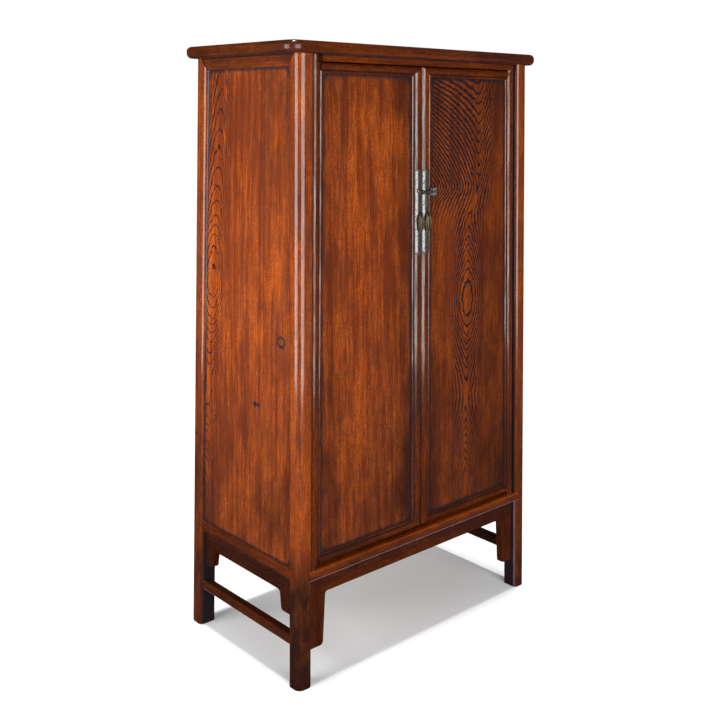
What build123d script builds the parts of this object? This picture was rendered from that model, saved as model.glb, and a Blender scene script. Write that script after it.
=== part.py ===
from build123d import *
from math import hypot, sqrt
import os

# A tall book cabinet with round-cornered, slightly splayed posts, a mitred cap frame, and two panelled
# doors that turn on their own pivot stiles.  Sizes in millimetres.  X runs from left to right, Y from front
# to back and Z up; the origin is on the floor, under the middle of the cabinet.  The left half is drawn
# and mirrored.  Heights of leaning pieces are measured up their lean, depths inwards from the post faces.

# Overall
total_height = 1800.0
foot_width = 1013.0
foot_depth = 563.0
shoulder_width = 918.0
shoulder_depth = 484.0

# Posts: round on the outer corner, softened on the two beside it, square inside
post_size = 50.5
back_post_width = 53.0
back_post_depth = 58.0
post_outer_round = 21.0
post_side_round = 13.5
post_inner_round = 2.0

# Cap frame, floating panel and batten
cap_side_overhang = 35.5
cap_front_overhang = 14.0
cap_thickness = 32.5
cap_corner_round = 35.0
cap_edge_round = 14.0
cap_member_width = 80.0
cap_panel_thickness = 14.0
cap_tongue_thickness = 6.0
cap_batten_width = 45.0
cap_batten_thickness = 16.0
cap_tenon_thickness = 10.0
post_tenon_width = 20.0
post_tenon_height = 12.0
post_tenon_root = 1.0

# Joinery
joint_gap = 0.15
slide_gap = 0.1
groove_depth = 8.0
side_tenon_length = 26.0
front_tenon_length = 15.0
tenon_shoulder = 7.0
tenon_overlap = 10.0
side_tenon_front = 16.0
side_tenon_rear = 30.0
front_tenon_front = 14.0
front_tenon_rear = 34.0
tongue_depth = 6.0
tongue_front = 24.0
tongue_rear = 32.0
mitre_over = 20.0

# Rails under the cap
front_head_height = 17.5
front_head_recess = 1.0
front_head_rear = 46.0
front_head_tenon_front = 41.5
side_head_height = 33.5
side_head_mitre = 26.0
side_head_lap = 12.0
side_head_recess = 3.0
side_head_rear = 40.0
side_head_round = 16.0
back_head_height = 40.5

# Base rails and sill
sill_top = 349.0
sill_low = 324.0
sill_proud = 3.0
sill_lap = 15.0
sill_top_round = 4.0
sill_low_round = 2.0
base_rail_low = 322.0
base_rail_top = 358.0
base_rail_recess = 4.0
base_rail_rear = 44.0
base_rail_round = 9.0

# Side and back panels
side_panel_recess = 9.0
side_panel_thickness = 12.0
back_panel_recess = 12.0
back_panel_thickness = 10.0
muntin_width = 60.0
muntin_recess = 8.0
muntin_rear = 26.0

# Bottom board, shelves and the bearers that carry them
bottom_board_low = 333.0
bottom_board_thickness = 12.0
shelf_thickness = 18.0
shelf_setback = 50.0
shelf_gap = 0.5
lower_shelf_share = 0.3285
upper_shelf_share = 0.6598
bearer_height = 30.0
bearer_front = 21.5
bearer_rear = 43.0
bearer_tenon_front = 25.0
bearer_tenon_rear = 39.0

# Aprons, spandrels and side stretchers
front_apron_low = 266.0
front_apron_recess = 17.5
apron_thickness = 20.0
front_spandrel_low = 104.0
front_spandrel_top_width = 61.0
front_spandrel_low_width = 53.0
spandrel_corner_round = 12.0
apron_junction_round = 10.0
side_apron_low = 268.0
side_apron_recess = 16.0
side_spandrel_low = 209.0
side_spandrel_top_width = 58.0
side_spandrel_low_width = 51.0
side_spandrel_curve = 12.0
stretcher_low = 121.0
stretcher_top = 152.0
stretcher_recess = 9.0
stretcher_rear = 39.0
stretcher_round = 6.0

# Doors: mitred frames with a rounded bar and an inner bead, and a floating panel
door_low_gap = 10.0
door_top_gap = 2.0
door_recess = 9.0
door_thickness = 26.0
stile_face = 38.0
rail_face = 27.0
bar_share = 0.74
bar_drop = 5.5
bead_crest = 4.8
quirk_depth = 7.0
door_panel_depth = 9.0
door_panel_thickness = 9.0
meeting_gap = 2.0
pivot_gap = 2.0
horn_step = 0.4
horn_root = 2.5
pivot_end_gap = 1.0
pivot_pin_radius = 7.0
pivot_pin_length = 13.5
pivot_running_gap = 0.05
pivot_socket_depth = 14.0
door_tenon_height = 9.0
door_tenon_length = 16.0
door_batten_shares = (0.3175, 0.6847)
member_over = 1.1
door_batten_width = 36.0
dovetail_depth = 3.0
dovetail_flare = 2.0

# Metal mounts on the meeting stiles
plate_share = 0.7023
plate_length = 247.0
plate_thickness = 1.2
plate_margin = 0.5
eye_drop = 4.0
eye_radius = 5.0
eye_wire_radius = 1.3
eye_proud = 8.0
shank_half = 1.5
shank_depth = 12.0
pull_width = 26.0
pull_length = 56.0
pull_end_round = 8.0
pull_thickness = 2.6
pull_hole_radius = 2.4
pull_head = 1.5
lug_rise = 58.5
lug_thickness = 3.0
lug_round = 6.5
lug_shank_height = 6.0
left_lug_x = -6.0
right_lug_x = 12.0
lock_axis_proud = 7.5
lock_rod_radius = 2.2
lock_rod_left = 2.0
lock_rod_right = 54.0
lock_body_left = 28.0
lock_body_right = 41.0
lock_body_height = 22.0
lock_body_depth = 11.0
lock_cap_thickness = 2.0
lock_cap_margin = 0.5

# Worked out from the sizes above
post_half = post_size / 2
post_height = total_height - cap_thickness
cap_width = shoulder_width + 2 * cap_side_overhang
cap_depth = shoulder_depth + 2 * cap_front_overhang
front_head_low = post_height - front_head_height
side_head_low = post_height - side_head_height
back_head_low = post_height - back_head_height
door_low = sill_top + door_low_gap
door_top = front_head_low - door_top_gap
lower_shelf_top = sill_top + lower_shelf_share * (post_height - sill_top)
upper_shelf_top = sill_top + upper_shelf_share * (post_height - sill_top)
plate_middle = door_low + plate_share * (door_top - door_low)
plate_low = plate_middle - plate_length / 2
plate_top = plate_middle + plate_length / 2
eye_height = plate_middle - eye_drop
lug_height = plate_middle + lug_rise
slope_x = (foot_width - shoulder_width) / 2 / post_height
slope_y = (foot_depth - shoulder_depth) / 2 / post_height
foot_x = foot_width / 2 - post_half * hypot(1, slope_x)
foot_y = foot_depth / 2 - post_half * hypot(1, slope_y)
reach = 2 * total_height
bar_width = stile_face * bar_share
rail_bar = rail_face * bar_share
pivot_radius = door_thickness / 2
bar_round = (bar_width**2 / 4 + bar_drop**2) / (2 * bar_drop)
meeting_edge = -meeting_gap / 2
stile_crest = meeting_edge - bar_width / 2


def face_plane(outward, slope, distance):
    """The plane of the post faces on one side: x along the side, y up its lean, z outwards."""
    normal = outward + Vector(0, 0, slope)
    up = Vector(0, 0, 1) - outward * slope
    return Plane(origin=outward * distance, x_dir=up.cross(normal), z_dir=normal)


def cross_plane(face):
    """The plane across a side's rails: x is the depth inwards and y runs up the lean."""
    return Plane(origin=face.origin, x_dir=-face.z_dir, z_dir=face.x_dir)


front = face_plane(Vector(0, -1, 0), slope_y, foot_depth / 2)
left = face_plane(Vector(-1, 0, 0), slope_x, foot_width / 2)
back = face_plane(Vector(0, 1, 0), slope_y, foot_depth / 2)
shoulder = Plane.XY.offset(post_height)

post_axis = Vector(slope_x, slope_y, 1)
post_inward = Vector(0, 1, -slope_y)
post_plane = Plane(origin=(-foot_x, -foot_y, 0), x_dir=post_inward.cross(post_axis), z_dir=post_axis)

pivot_offset = Vector(post_half + pivot_gap + pivot_radius, door_recess + pivot_radius - post_half, 0)
pivot_start = post_plane.from_local_coords(pivot_offset)
pivot_floor = pivot_start - post_axis * (pivot_start.Z / post_axis.Z)
pivot_plane = Plane(origin=pivot_floor, x_dir=post_plane.x_dir, z_dir=post_axis)
pivot_stretch = post_axis.length


def front_edge(height, inset=0.0):
    """Where the left post's inner face is in the front plane, moved inwards by an inset."""
    return inset - (foot_x - post_half - slope_x * height)


def side_edge(height, inset=0.0):
    """How far the post faces stand from the middle of a side, less an inset."""
    return foot_y - post_half - slope_y * height - inset


def slab(face, outline, near, far):
    """A board that follows a leaning face: its outline in the face, between two depths."""
    with BuildPart() as board:
        with BuildSketch(face.offset(-far)):
            Polygon(*outline, align=None)
        extrude(amount=far - near)
    return board.part


def block(face, x_range, height_range, depth_range, grow=0.0):
    """A straight tenon or its mortise, square to a leaning face and grown by a clearance."""
    low_x, high_x = min(x_range) - grow, max(x_range) + grow
    low, high = height_range[0] - grow, height_range[1] + grow
    corners = [(low_x, low), (high_x, low), (high_x, high), (low_x, high)]
    return slab(face, corners, depth_range[0] - grow, depth_range[1] + grow)


def both_sides(piece):
    """A piece of the left side and its mirror image on the right."""
    return [piece, piece.mirror(Plane.YZ)]


def both_ends(piece):
    """A piece near the front posts and its mirror image near the back posts."""
    return [piece, piece.mirror(Plane.XZ)]


def post_blank(width, depth, grow):
    """A left post as if it were the front one, from floor to shoulder, grown by a clearance all round."""
    with BuildPart() as blank:
        with BuildSketch(post_plane):
            with Locations(((width - post_size) / 2, (depth - post_size) / 2)):
                Rectangle(width + 2 * grow, depth + 2 * grow)
            fillet(vertices().sort_by(Axis((0, 0, 0), (1, 1, 0)))[0], post_outer_round + grow)
            fillet(vertices().sort_by(Axis((0, 0, 0), (1, 1, 0)))[-1], post_inner_round + grow)
            fillet(vertices().sort_by(Axis((0, 0, 0), (1, -1, 0)))[0], post_side_round + grow)
            fillet(vertices().sort_by(Axis((0, 0, 0), (1, -1, 0)))[-1], post_side_round + grow)
        extrude(amount=reach, both=True)
        split(bisect_by=Plane.XY, keep=Keep.TOP)
        split(bisect_by=shoulder, keep=Keep.BOTTOM)
    return blank.part


def head_mitre(near, far, grow=0.0):
    """The triangles where the left head rail laps over its two posts, between two depths."""
    low, top = side_head_low - grow, post_height + mitre_over
    spread = side_head_mitre * (top - side_head_low) / side_head_height + grow
    laps = []
    for shift, sign in ((0.0, 1), (back_post_depth - post_size, -1)):
        inner = side_edge(low, shift)
        corners = [
            (sign * (inner - 1), low),
            (sign * (inner + grow), low),
            (sign * (inner + spread), top),
            (sign * (inner - 1), top),
        ]
        laps.append(slab(left, corners[::sign], near, far))
    return laps


post_room = post_blank(post_size, post_size, joint_gap)
back_post_room = post_blank(back_post_width, back_post_depth, joint_gap).mirror(Plane.XZ)
front_post_rooms = both_sides(post_room)
left_post_rooms = [post_room, back_post_room]
all_post_rooms = [room for half in left_post_rooms for room in both_sides(half)]
pieces = {}

# Cap: one rounded blank, cut into four mitred members round a floating panel
cap_x = cap_width / 2
cap_y = cap_depth / 2
open_x = cap_x - cap_member_width
open_y = cap_y - cap_member_width
cap_tongue_low = total_height - cap_panel_thickness

with BuildPart() as cap_blank:
    with BuildSketch(shoulder):
        RectangleRounded(cap_width, cap_depth, cap_corner_round)
    extrude(amount=cap_thickness)
    fillet(faces().sort_by(Axis.Z)[-1].edges() + faces().sort_by(Axis.Z)[0].edges(), cap_edge_round)
    with BuildSketch(shoulder):
        Rectangle(2 * open_x, 2 * open_y)
    extrude(amount=cap_thickness, mode=Mode.SUBTRACT)

with BuildPart() as cap_panel:
    with BuildSketch(Plane.XY.offset(cap_tongue_low)):
        Rectangle(2 * (open_x - shelf_gap), 2 * (open_y - shelf_gap))
    extrude(amount=cap_panel_thickness)
    with BuildSketch(Plane.XY.offset(cap_tongue_low)):
        Rectangle(2 * (open_x + groove_depth - shelf_gap), 2 * (open_y + groove_depth - shelf_gap))
    extrude(amount=cap_tongue_thickness)

with BuildPart() as cap_groove:
    with BuildSketch(Plane.XY.offset(cap_tongue_low - slide_gap)):
        Rectangle(2 * (open_x + groove_depth), 2 * (open_y + groove_depth))
    extrude(amount=cap_tongue_thickness + 2 * slide_gap)


def cap_batten_part(grow):
    """The batten under the cap panel with a stub tenon at each end, grown by a clearance."""
    with BuildPart() as batten:
        with BuildSketch(Plane.XY.offset(cap_tongue_low)):
            Rectangle(cap_batten_width + 2 * grow, 2 * (open_y - joint_gap + grow))
        extrude(amount=-cap_batten_thickness)
        with BuildSketch(Plane.XY.offset(cap_tongue_low - tenon_shoulder / 2 + grow)):
            Rectangle(cap_batten_width / 2 + 2 * grow, 2 * (open_y + groove_depth + grow))
        extrude(amount=-(cap_batten_thickness - tenon_shoulder + 2 * grow))
    return batten.part


def cap_tenon(grow):
    """The tenon of the left member in the front one, grown by a clearance."""
    across = (tenon_shoulder * 4, cap_member_width - tenon_shoulder * 3)
    along = (tenon_shoulder * 2, cap_member_width - groove_depth)
    with BuildPart() as tenon:
        with BuildSketch(Plane.XY.offset(total_height - cap_panel_thickness - grow)):
            with Locations((sum(across) / 2 - cap_x, sum(along) / 2 - cap_y)):
                Rectangle(across[1] - across[0] + 2 * grow, along[1] - along[0] + 2 * grow)
        extrude(amount=cap_tenon_thickness * 0.6 + 2 * grow)
    return tenon.part


def post_tenon(grow):
    """The tenon on top of the front left post, square to its axis, grown by a clearance."""
    with BuildPart() as tenon:
        with BuildSketch(post_plane.offset(post_height * pivot_stretch - post_tenon_root)):
            Rectangle(post_tenon_width + 2 * grow, post_tenon_width + 2 * grow)
        extrude(amount=post_tenon_height + post_tenon_root + grow)
    return tenon.part


def pivot_bore(start, length, radius):
    """A cylinder on the left door's axis, from a height along the axis."""
    with BuildPart() as bore:
        with BuildSketch(pivot_plane.offset(start)):
            Circle(radius)
        extrude(amount=length)
    return bore.part


horn_top = (post_height - pivot_end_gap) * pivot_stretch
horn_low = (sill_top + pivot_end_gap) * pivot_stretch
top_horn_length = post_height - pivot_end_gap - door_top + horn_root
low_horn_length = door_low - sill_top - pivot_end_gap + horn_root
socket_radius = pivot_pin_radius + pivot_running_gap
top_socket = pivot_bore(horn_top, pivot_end_gap + pivot_socket_depth, socket_radius)
low_socket = pivot_bore(horn_low - pivot_end_gap - pivot_socket_depth,
                        pivot_end_gap * 2 + pivot_socket_depth, socket_radius)

with BuildPart() as cap_front:
    with BuildSketch(shoulder):
        Polygon((-cap_x, -cap_y), (cap_x, -cap_y), (open_x, -open_y), (-open_x, -open_y), align=None)
    extrude(amount=cap_thickness)
    add(cap_blank.part, mode=Mode.INTERSECT)
    add(cap_groove.part, mode=Mode.SUBTRACT)
    add(cap_batten_part(slide_gap), mode=Mode.SUBTRACT)
    add(both_sides(cap_tenon(slide_gap)), mode=Mode.SUBTRACT)
    add(both_sides(post_tenon(slide_gap)), mode=Mode.SUBTRACT)
    add(both_sides(top_socket), mode=Mode.SUBTRACT)
pieces["cap_front"] = cap_front.part

with BuildPart() as cap_back:
    with BuildSketch(shoulder):
        Polygon((-open_x, open_y), (open_x, open_y), (cap_x, cap_y), (-cap_x, cap_y), align=None)
    extrude(amount=cap_thickness)
    add(cap_blank.part, mode=Mode.INTERSECT)
    add(cap_groove.part, mode=Mode.SUBTRACT)
    add(cap_batten_part(slide_gap), mode=Mode.SUBTRACT)
    for room in both_sides(cap_tenon(slide_gap)) + both_sides(post_tenon(slide_gap)):
        mirror(room, about=Plane.XZ, mode=Mode.SUBTRACT)
pieces["cap_back"] = cap_back.part

with BuildPart() as cap_left:
    with BuildSketch(shoulder):
        Polygon((-cap_x, -cap_y), (-open_x, -open_y), (-open_x, open_y), (-cap_x, cap_y), align=None)
    extrude(amount=cap_thickness)
    add(cap_blank.part, mode=Mode.INTERSECT)
    add(both_ends(cap_tenon(0.0)))
    add(cap_groove.part, mode=Mode.SUBTRACT)
pieces["cap_left"] = cap_left.part
pieces["cap_panel"] = cap_panel.part
pieces["cap_batten"] = cap_batten_part(0.0)

# Front spandrels and apron, side spandrels and aprons: one arch each, cut at its mitres
def arch(face, edge, low, apron_low, top, low_width, top_width, corner_round, junction_round, near, far):
    """An apron with its two spandrels, from post to post under a rail."""
    half = [abs(edge(height)) for height in (low, apron_low, top)]
    spread = tenon_shoulder
    with BuildPart() as whole:
        with BuildSketch(face.offset(-far)):
            Polygon(
                (-half[0] - spread, low),
                (low_width - half[0], low),
                (top_width - half[1], apron_low),
                (half[1] - top_width, apron_low),
                (half[0] - low_width, low),
                (half[0] + spread, low),
                (half[2] + spread, top),
                (-half[2] - spread, top),
                align=None,
            )
            inner = vertices().filter_by_position(Axis.Y, apron_low - 1, apron_low + 1)
            fillet(inner, junction_round)
            lower = vertices().filter_by_position(Axis.Y, low - 1, low + 1)
            fillet(lower.sort_by(Axis.X)[1:3], corner_round)
        extrude(amount=far - near)
    return whole.part


def mitre_cut(face, edge, apron_low, top, top_width, near, far):
    """The half of an arch's space left of its left mitre line."""
    half_top = abs(edge(top))
    half_low = abs(edge(apron_low))
    corners = [
        (-reach, apron_low - reach),
        (top_width - half_low, apron_low - reach),
        (top_width - half_low, apron_low),
        (-half_top, top),
        (-half_top, top + mitre_over),
        (-reach, top + mitre_over),
    ]
    return slab(face, corners, near - 1, far + 1)


front_far = front_apron_recess + apron_thickness
front_arch = arch(front, front_edge, front_spandrel_low, front_apron_low, sill_low, front_spandrel_low_width,
                  front_spandrel_top_width, spandrel_corner_round, apron_junction_round,
                  front_apron_recess, front_far)
front_mitre = mitre_cut(front, front_edge, front_apron_low, sill_low, front_spandrel_top_width,
                        front_apron_recess, front_far)
side_far = side_apron_recess + apron_thickness
side_arch = arch(left, side_edge, side_spandrel_low, side_apron_low, base_rail_low, side_spandrel_low_width,
                 side_spandrel_top_width, side_spandrel_curve, side_spandrel_curve,
                 side_apron_recess, side_far)
side_mitre = mitre_cut(left, side_edge, side_apron_low, base_rail_low, side_spandrel_top_width,
                       side_apron_recess, side_far)


def apron_tongue(face, edge, top, top_width, grow=0.0):
    """The tongue of an apron in the underside of its rail."""
    half = abs(edge(top)) - top_width
    return block(face, (-half, half), (top - 1, top + tongue_depth), (tongue_front, tongue_rear), grow)


def post_tongue(face, edge, low, top, sign, grow=0.0):
    """The tongue of a spandrel in its post, on the side of the face where x has this sign."""
    low_end = low + spandrel_corner_round
    high_end = top - spandrel_corner_round
    low_x, high_x = abs(edge(low_end)), abs(edge(high_end))
    outer, inner = tongue_depth + grow, -tenon_overlap - grow
    corners = [
        (low_x + outer, low_end - grow),
        (high_x + outer, high_end + grow),
        (high_x + inner, high_end + grow),
        (low_x + inner, low_end - grow),
    ]
    if sign < 0:
        corners = [(-x, height) for x, height in reversed(corners)]
    return slab(face, corners, tongue_front - grow, tongue_rear + grow)


with BuildPart() as front_apron:
    add(front_arch)
    add(both_sides(front_mitre), mode=Mode.SUBTRACT)
    add(front_post_rooms, mode=Mode.SUBTRACT)
    add(apron_tongue(front, front_edge, sill_low, front_spandrel_top_width))
pieces["front_apron"] = front_apron.part

with BuildPart() as front_spandrel_left:
    add(front_arch)
    add(front_mitre, mode=Mode.INTERSECT)
    add(post_room, mode=Mode.SUBTRACT)
    add(post_tongue(front, front_edge, front_spandrel_low, sill_low, -1))
pieces["front_spandrel_left"] = front_spandrel_left.part

with BuildPart() as side_apron_left:
    add(side_arch)
    add(both_ends(side_mitre), mode=Mode.SUBTRACT)
    add(left_post_rooms, mode=Mode.SUBTRACT)
    add(apron_tongue(left, side_edge, base_rail_low, side_spandrel_top_width))
pieces["side_apron_left"] = side_apron_left.part

for end, mitre, sign in (("back", side_mitre, -1), ("front", side_mitre.mirror(Plane.XZ), 1)):
    with BuildPart() as side_spandrel:
        add(side_arch)
        add(mitre, mode=Mode.INTERSECT)
        add(left_post_rooms, mode=Mode.SUBTRACT)
        add(post_tongue(left, side_edge, side_spandrel_low, base_rail_low, sign))
    pieces[f"side_spandrel_{end}_left"] = side_spandrel.part

with BuildPart() as back_apron:
    half_top, half_low = -front_edge(base_rail_low), -front_edge(side_apron_low)
    with BuildSketch(back.offset(-side_far)):
        Polygon((-half_low - 5, side_apron_low), (half_low + 5, side_apron_low),
                (half_top + 5, base_rail_low), (-half_top - 5, base_rail_low), align=None)
    extrude(amount=apron_thickness)
    add(all_post_rooms, mode=Mode.SUBTRACT)
    add(apron_tongue(back, front_edge, base_rail_low, side_spandrel_top_width))
    add([post_tongue(back, front_edge, side_apron_low - 5, base_rail_low + 5, sign) for sign in (-1, 1)])
pieces["back_apron"] = back_apron.part

# Panels of the sides and back, grooved into posts and rails
def side_panel_slab(tongue, gap):
    """The left side panel with its tongues, or the room for it."""
    low, high = base_rail_top - tongue, side_head_low + tongue
    low_x, high_x = side_edge(low, -tongue), side_edge(high, -tongue)
    corners = [(-low_x, low), (low_x, low), (high_x, high), (-high_x, high)]
    return slab(left, corners, side_panel_recess - gap, side_panel_recess + side_panel_thickness + gap)


def back_panel_slab(tongue, gap):
    """The back panel on the side where the face's x is positive, with its tongues, or its room."""
    low, high = base_rail_top - tongue, back_head_low + tongue
    low_x, high_x = tongue - front_edge(low), tongue - front_edge(high)
    inner = muntin_width / 2 - tongue
    corners = [(inner, low), (low_x, low), (high_x, high), (inner, high)]
    return slab(back, corners, back_panel_recess - gap, back_panel_recess + back_panel_thickness + gap)


panel_tongue = groove_depth - 1.0
side_panel_room = side_panel_slab(groove_depth, slide_gap)
back_panel_room = back_panel_slab(groove_depth, slide_gap)
pieces["side_panel_left"] = side_panel_slab(panel_tongue, 0.0)
pieces["back_panel_left"] = back_panel_slab(panel_tongue, 0.0)


def rail(face, low, high, near, far, half_length):
    """A rail's plain blank across a leaning face."""
    return block(face, (-half_length, half_length), (low, high), (near, far))


def end_tenons(face, edge, low, high, length, near, far, grow=0.0):
    """The tenons at both ends of a rail."""
    middle = (low + high) / 2
    inner = abs(edge(middle)) - tenon_overlap
    outer = abs(edge(middle)) + length
    ends = [(-outer, -inner), (inner, outer)]
    return [block(face, end, (low, high), (near, far), grow) for end in ends]


side_head_tenon = (side_head_low + groove_depth + 2, post_height - 3)
base_tenon = (base_rail_low + 5, base_rail_top - groove_depth - 3)
back_head_tenon = (back_head_low + groove_depth + 2, post_height - 3)
side_depths = (side_tenon_front, side_tenon_rear)
front_depths = (front_tenon_front, front_tenon_rear)
front_head_depths = (front_head_tenon_front, front_head_rear)
front_head_tenon = (front_head_low, post_height + cap_thickness)
sill_tenon = (sill_low + 6, sill_top - 5)
stretcher_tenon = (stretcher_low + 6, stretcher_top - 6)

bottom_board_top = bottom_board_low + bottom_board_thickness


def board(low, thickness, half_x, front_y, back_y):
    """A level board, cut round the posts."""
    with BuildPart() as level:
        with BuildSketch(Plane.XY.offset(low)):
            with Locations((0, (front_y + back_y) / 2)):
                Rectangle(2 * half_x, back_y - front_y)
        extrude(amount=thickness)
        add(all_post_rooms, mode=Mode.SUBTRACT)
    return level.part


def inside(half_size, slope, height, depth):
    """How far from the middle a depth behind a leaning face is, at a height."""
    return half_size - slope * height - depth


bottom_tongue = base_rail_rear - panel_tongue
sill_tongue = post_size - panel_tongue
bottom_board = board(
    bottom_board_low,
    bottom_board_thickness,
    inside(foot_width / 2, slope_x, bottom_board_low, bottom_tongue),
    -inside(foot_depth / 2, slope_y, bottom_board_low, sill_tongue),
    inside(foot_depth / 2, slope_y, bottom_board_low, bottom_tongue),
)
pieces["bottom_board"] = bottom_board

with BuildPart() as bottom_room:
    bounds = bottom_board.bounding_box()
    with BuildSketch(Plane.XY.offset(bottom_board_low - slide_gap)):
        with Locations(((bounds.min.X + bounds.max.X) / 2, (bounds.min.Y + bounds.max.Y) / 2)):
            Rectangle(bounds.size.X + 2, bounds.size.Y + 2)
    extrude(amount=bottom_board_thickness + 2 * slide_gap)

# Rails
with BuildPart() as head_post_rooms:
    add(left_post_rooms)
    add(head_mitre(side_head_recess, side_head_lap), mode=Mode.SUBTRACT)

with BuildPart() as head_rail_left:
    add(rail(left, side_head_low, reach, side_head_recess, side_head_rear,
             side_edge(side_head_low, -side_head_mitre - 2)))
    split(bisect_by=shoulder, keep=Keep.BOTTOM)
    outer_edges = edges().filter_by(Axis.Y).sort_by(Axis.X)
    fillet(outer_edges.sort_by(Axis.Z)[0:2].sort_by(Axis.X)[0], side_head_round)
    add(head_post_rooms.part, mode=Mode.SUBTRACT)
    add(end_tenons(left, side_edge, *side_head_tenon, side_tenon_length, *side_depths))
    add(side_panel_room, mode=Mode.SUBTRACT)
pieces["head_rail_left"] = head_rail_left.part

with BuildPart() as base_rail_left:
    add(rail(left, base_rail_low, base_rail_top, base_rail_recess, base_rail_rear,
             side_edge(base_rail_low, -post_half)))
    fillet(edges().filter_by(Axis.Y).sort_by(Axis.X)[0:2], base_rail_round)
    add(left_post_rooms, mode=Mode.SUBTRACT)
    add(end_tenons(left, side_edge, *base_tenon, side_tenon_length, *side_depths))
    add(side_panel_room, mode=Mode.SUBTRACT)
    add(bottom_room.part, mode=Mode.SUBTRACT)
    add(apron_tongue(left, side_edge, base_rail_low, side_spandrel_top_width, slide_gap), mode=Mode.SUBTRACT)
pieces["base_rail_left"] = base_rail_left.part

with BuildPart() as stretcher_left:
    add(rail(left, stretcher_low, stretcher_top, stretcher_recess, stretcher_rear,
             side_edge(stretcher_low, -post_half)))
    fillet(edges().filter_by(Axis.Y), stretcher_round)
    add(left_post_rooms, mode=Mode.SUBTRACT)
    add(end_tenons(left, side_edge, *stretcher_tenon, side_tenon_length, *side_depths))
pieces["stretcher_left"] = stretcher_left.part

with BuildPart() as head_rail_front:
    add(rail(front, front_head_low, reach, front_head_recess, front_head_rear, -front_edge(front_head_low)))
    split(bisect_by=shoulder, keep=Keep.BOTTOM)
    horn_space = block(front, (front_edge(front_head_low) - post_half, front_edge(front_head_low, pivot_gap)
                               + 2 * pivot_radius + pivot_end_gap),
                       (front_head_low - 1, reach), (0, front_head_tenon_front))
    add(both_sides(horn_space), mode=Mode.SUBTRACT)
    add(front_post_rooms, mode=Mode.SUBTRACT)
    tenons = end_tenons(front, front_edge, *front_head_tenon, front_tenon_length, *front_head_depths)
    add(tenons)
    split(bisect_by=shoulder, keep=Keep.BOTTOM)
pieces["head_rail_front"] = head_rail_front.part

with BuildPart() as sill:
    lap_end = -front_edge(sill_top) + sill_lap
    add(rail(front, sill_low, sill_top, -sill_proud, post_size, lap_end))
    long_edges = edges().filter_by(Axis.X).sort_by(Axis.Y)[0:2].sort_by(Axis.Z)
    fillet(long_edges[0], sill_low_round)
    long_edges = edges().filter_by(Axis.X).sort_by(Axis.Y)[0:4].sort_by(Axis.Z)
    fillet(long_edges[-1], sill_top_round)
    add(front_post_rooms, mode=Mode.SUBTRACT)
    add(end_tenons(front, front_edge, *sill_tenon, front_tenon_length, *front_depths))
    add(both_sides(low_socket), mode=Mode.SUBTRACT)
    add(bottom_room.part, mode=Mode.SUBTRACT)
    add(apron_tongue(front, front_edge, sill_low, front_spandrel_top_width, slide_gap), mode=Mode.SUBTRACT)
pieces["sill"] = sill.part

with BuildPart() as head_rail_back:
    add(rail(back, back_head_low, reach, muntin_recess, side_head_rear, -front_edge(back_head_low, -post_half)))
    split(bisect_by=shoulder, keep=Keep.BOTTOM)
    add(all_post_rooms, mode=Mode.SUBTRACT)
    add(end_tenons(back, front_edge, *back_head_tenon, front_tenon_length, *front_depths))
    add(both_sides(back_panel_room), mode=Mode.SUBTRACT)
pieces["head_rail_back"] = head_rail_back.part

with BuildPart() as base_rail_back:
    add(rail(back, base_rail_low, base_rail_top, base_rail_recess, base_rail_rear,
             -front_edge(base_rail_low, -post_half)))
    add(all_post_rooms, mode=Mode.SUBTRACT)
    add(end_tenons(back, front_edge, *base_tenon, front_tenon_length, *front_depths))
    add(both_sides(back_panel_room), mode=Mode.SUBTRACT)
    add(bottom_room.part, mode=Mode.SUBTRACT)
    add(apron_tongue(back, front_edge, base_rail_low, side_spandrel_top_width, slide_gap), mode=Mode.SUBTRACT)
pieces["base_rail_back"] = base_rail_back.part

with BuildPart() as back_muntin:
    add(block(back, (-muntin_width / 2, muntin_width / 2), (base_rail_top, back_head_low),
              (muntin_recess, muntin_rear), -slide_gap))
    add(both_sides(back_panel_room), mode=Mode.SUBTRACT)
pieces["back_muntin"] = back_muntin.part

# Shelves on bearers behind the side panels
side_inner = side_panel_recess + side_panel_thickness + shelf_gap
for shelf_name, shelf_top in (("lower", lower_shelf_top), ("upper", upper_shelf_top)):
    pieces[f"{shelf_name}_shelf"] = board(
        shelf_top - shelf_thickness,
        shelf_thickness,
        inside(foot_width / 2, slope_x, shelf_top, side_inner),
        -inside(foot_depth / 2, slope_y, shelf_top, shelf_setback),
        inside(foot_depth / 2, slope_y, shelf_top, muntin_rear + shelf_gap),
    )


def bearer_tenons(low, grow=0.0):
    """The tenons of one bearer in the left posts."""
    heights = (low + 5, low + bearer_height - 5)
    depths = (bearer_tenon_front, bearer_tenon_rear)
    return end_tenons(left, side_edge, *heights, front_tenon_length, *depths, grow)


bearer_lows = [top - shelf_thickness - bearer_height for top in (lower_shelf_top, upper_shelf_top)]
with BuildPart() as bearers_left:
    for low in bearer_lows:
        with BuildSketch(Plane.XZ.offset(-side_edge(low, -post_half))):
            near_x = inside(foot_width / 2, slope_x, low, bearer_front)
            far_x = inside(foot_width / 2, slope_x, low, bearer_rear)
            rise = slope_x * bearer_height
            Polygon((-near_x, low), (-far_x, low), (rise - far_x, low + bearer_height),
                    (rise - near_x, low + bearer_height), align=None)
        extrude(amount=2 * side_edge(low, -post_half))
    add(left_post_rooms, mode=Mode.SUBTRACT)
    for low in bearer_lows:
        add(bearer_tenons(low))
pieces["bearers_left"] = bearers_left.part

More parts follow.
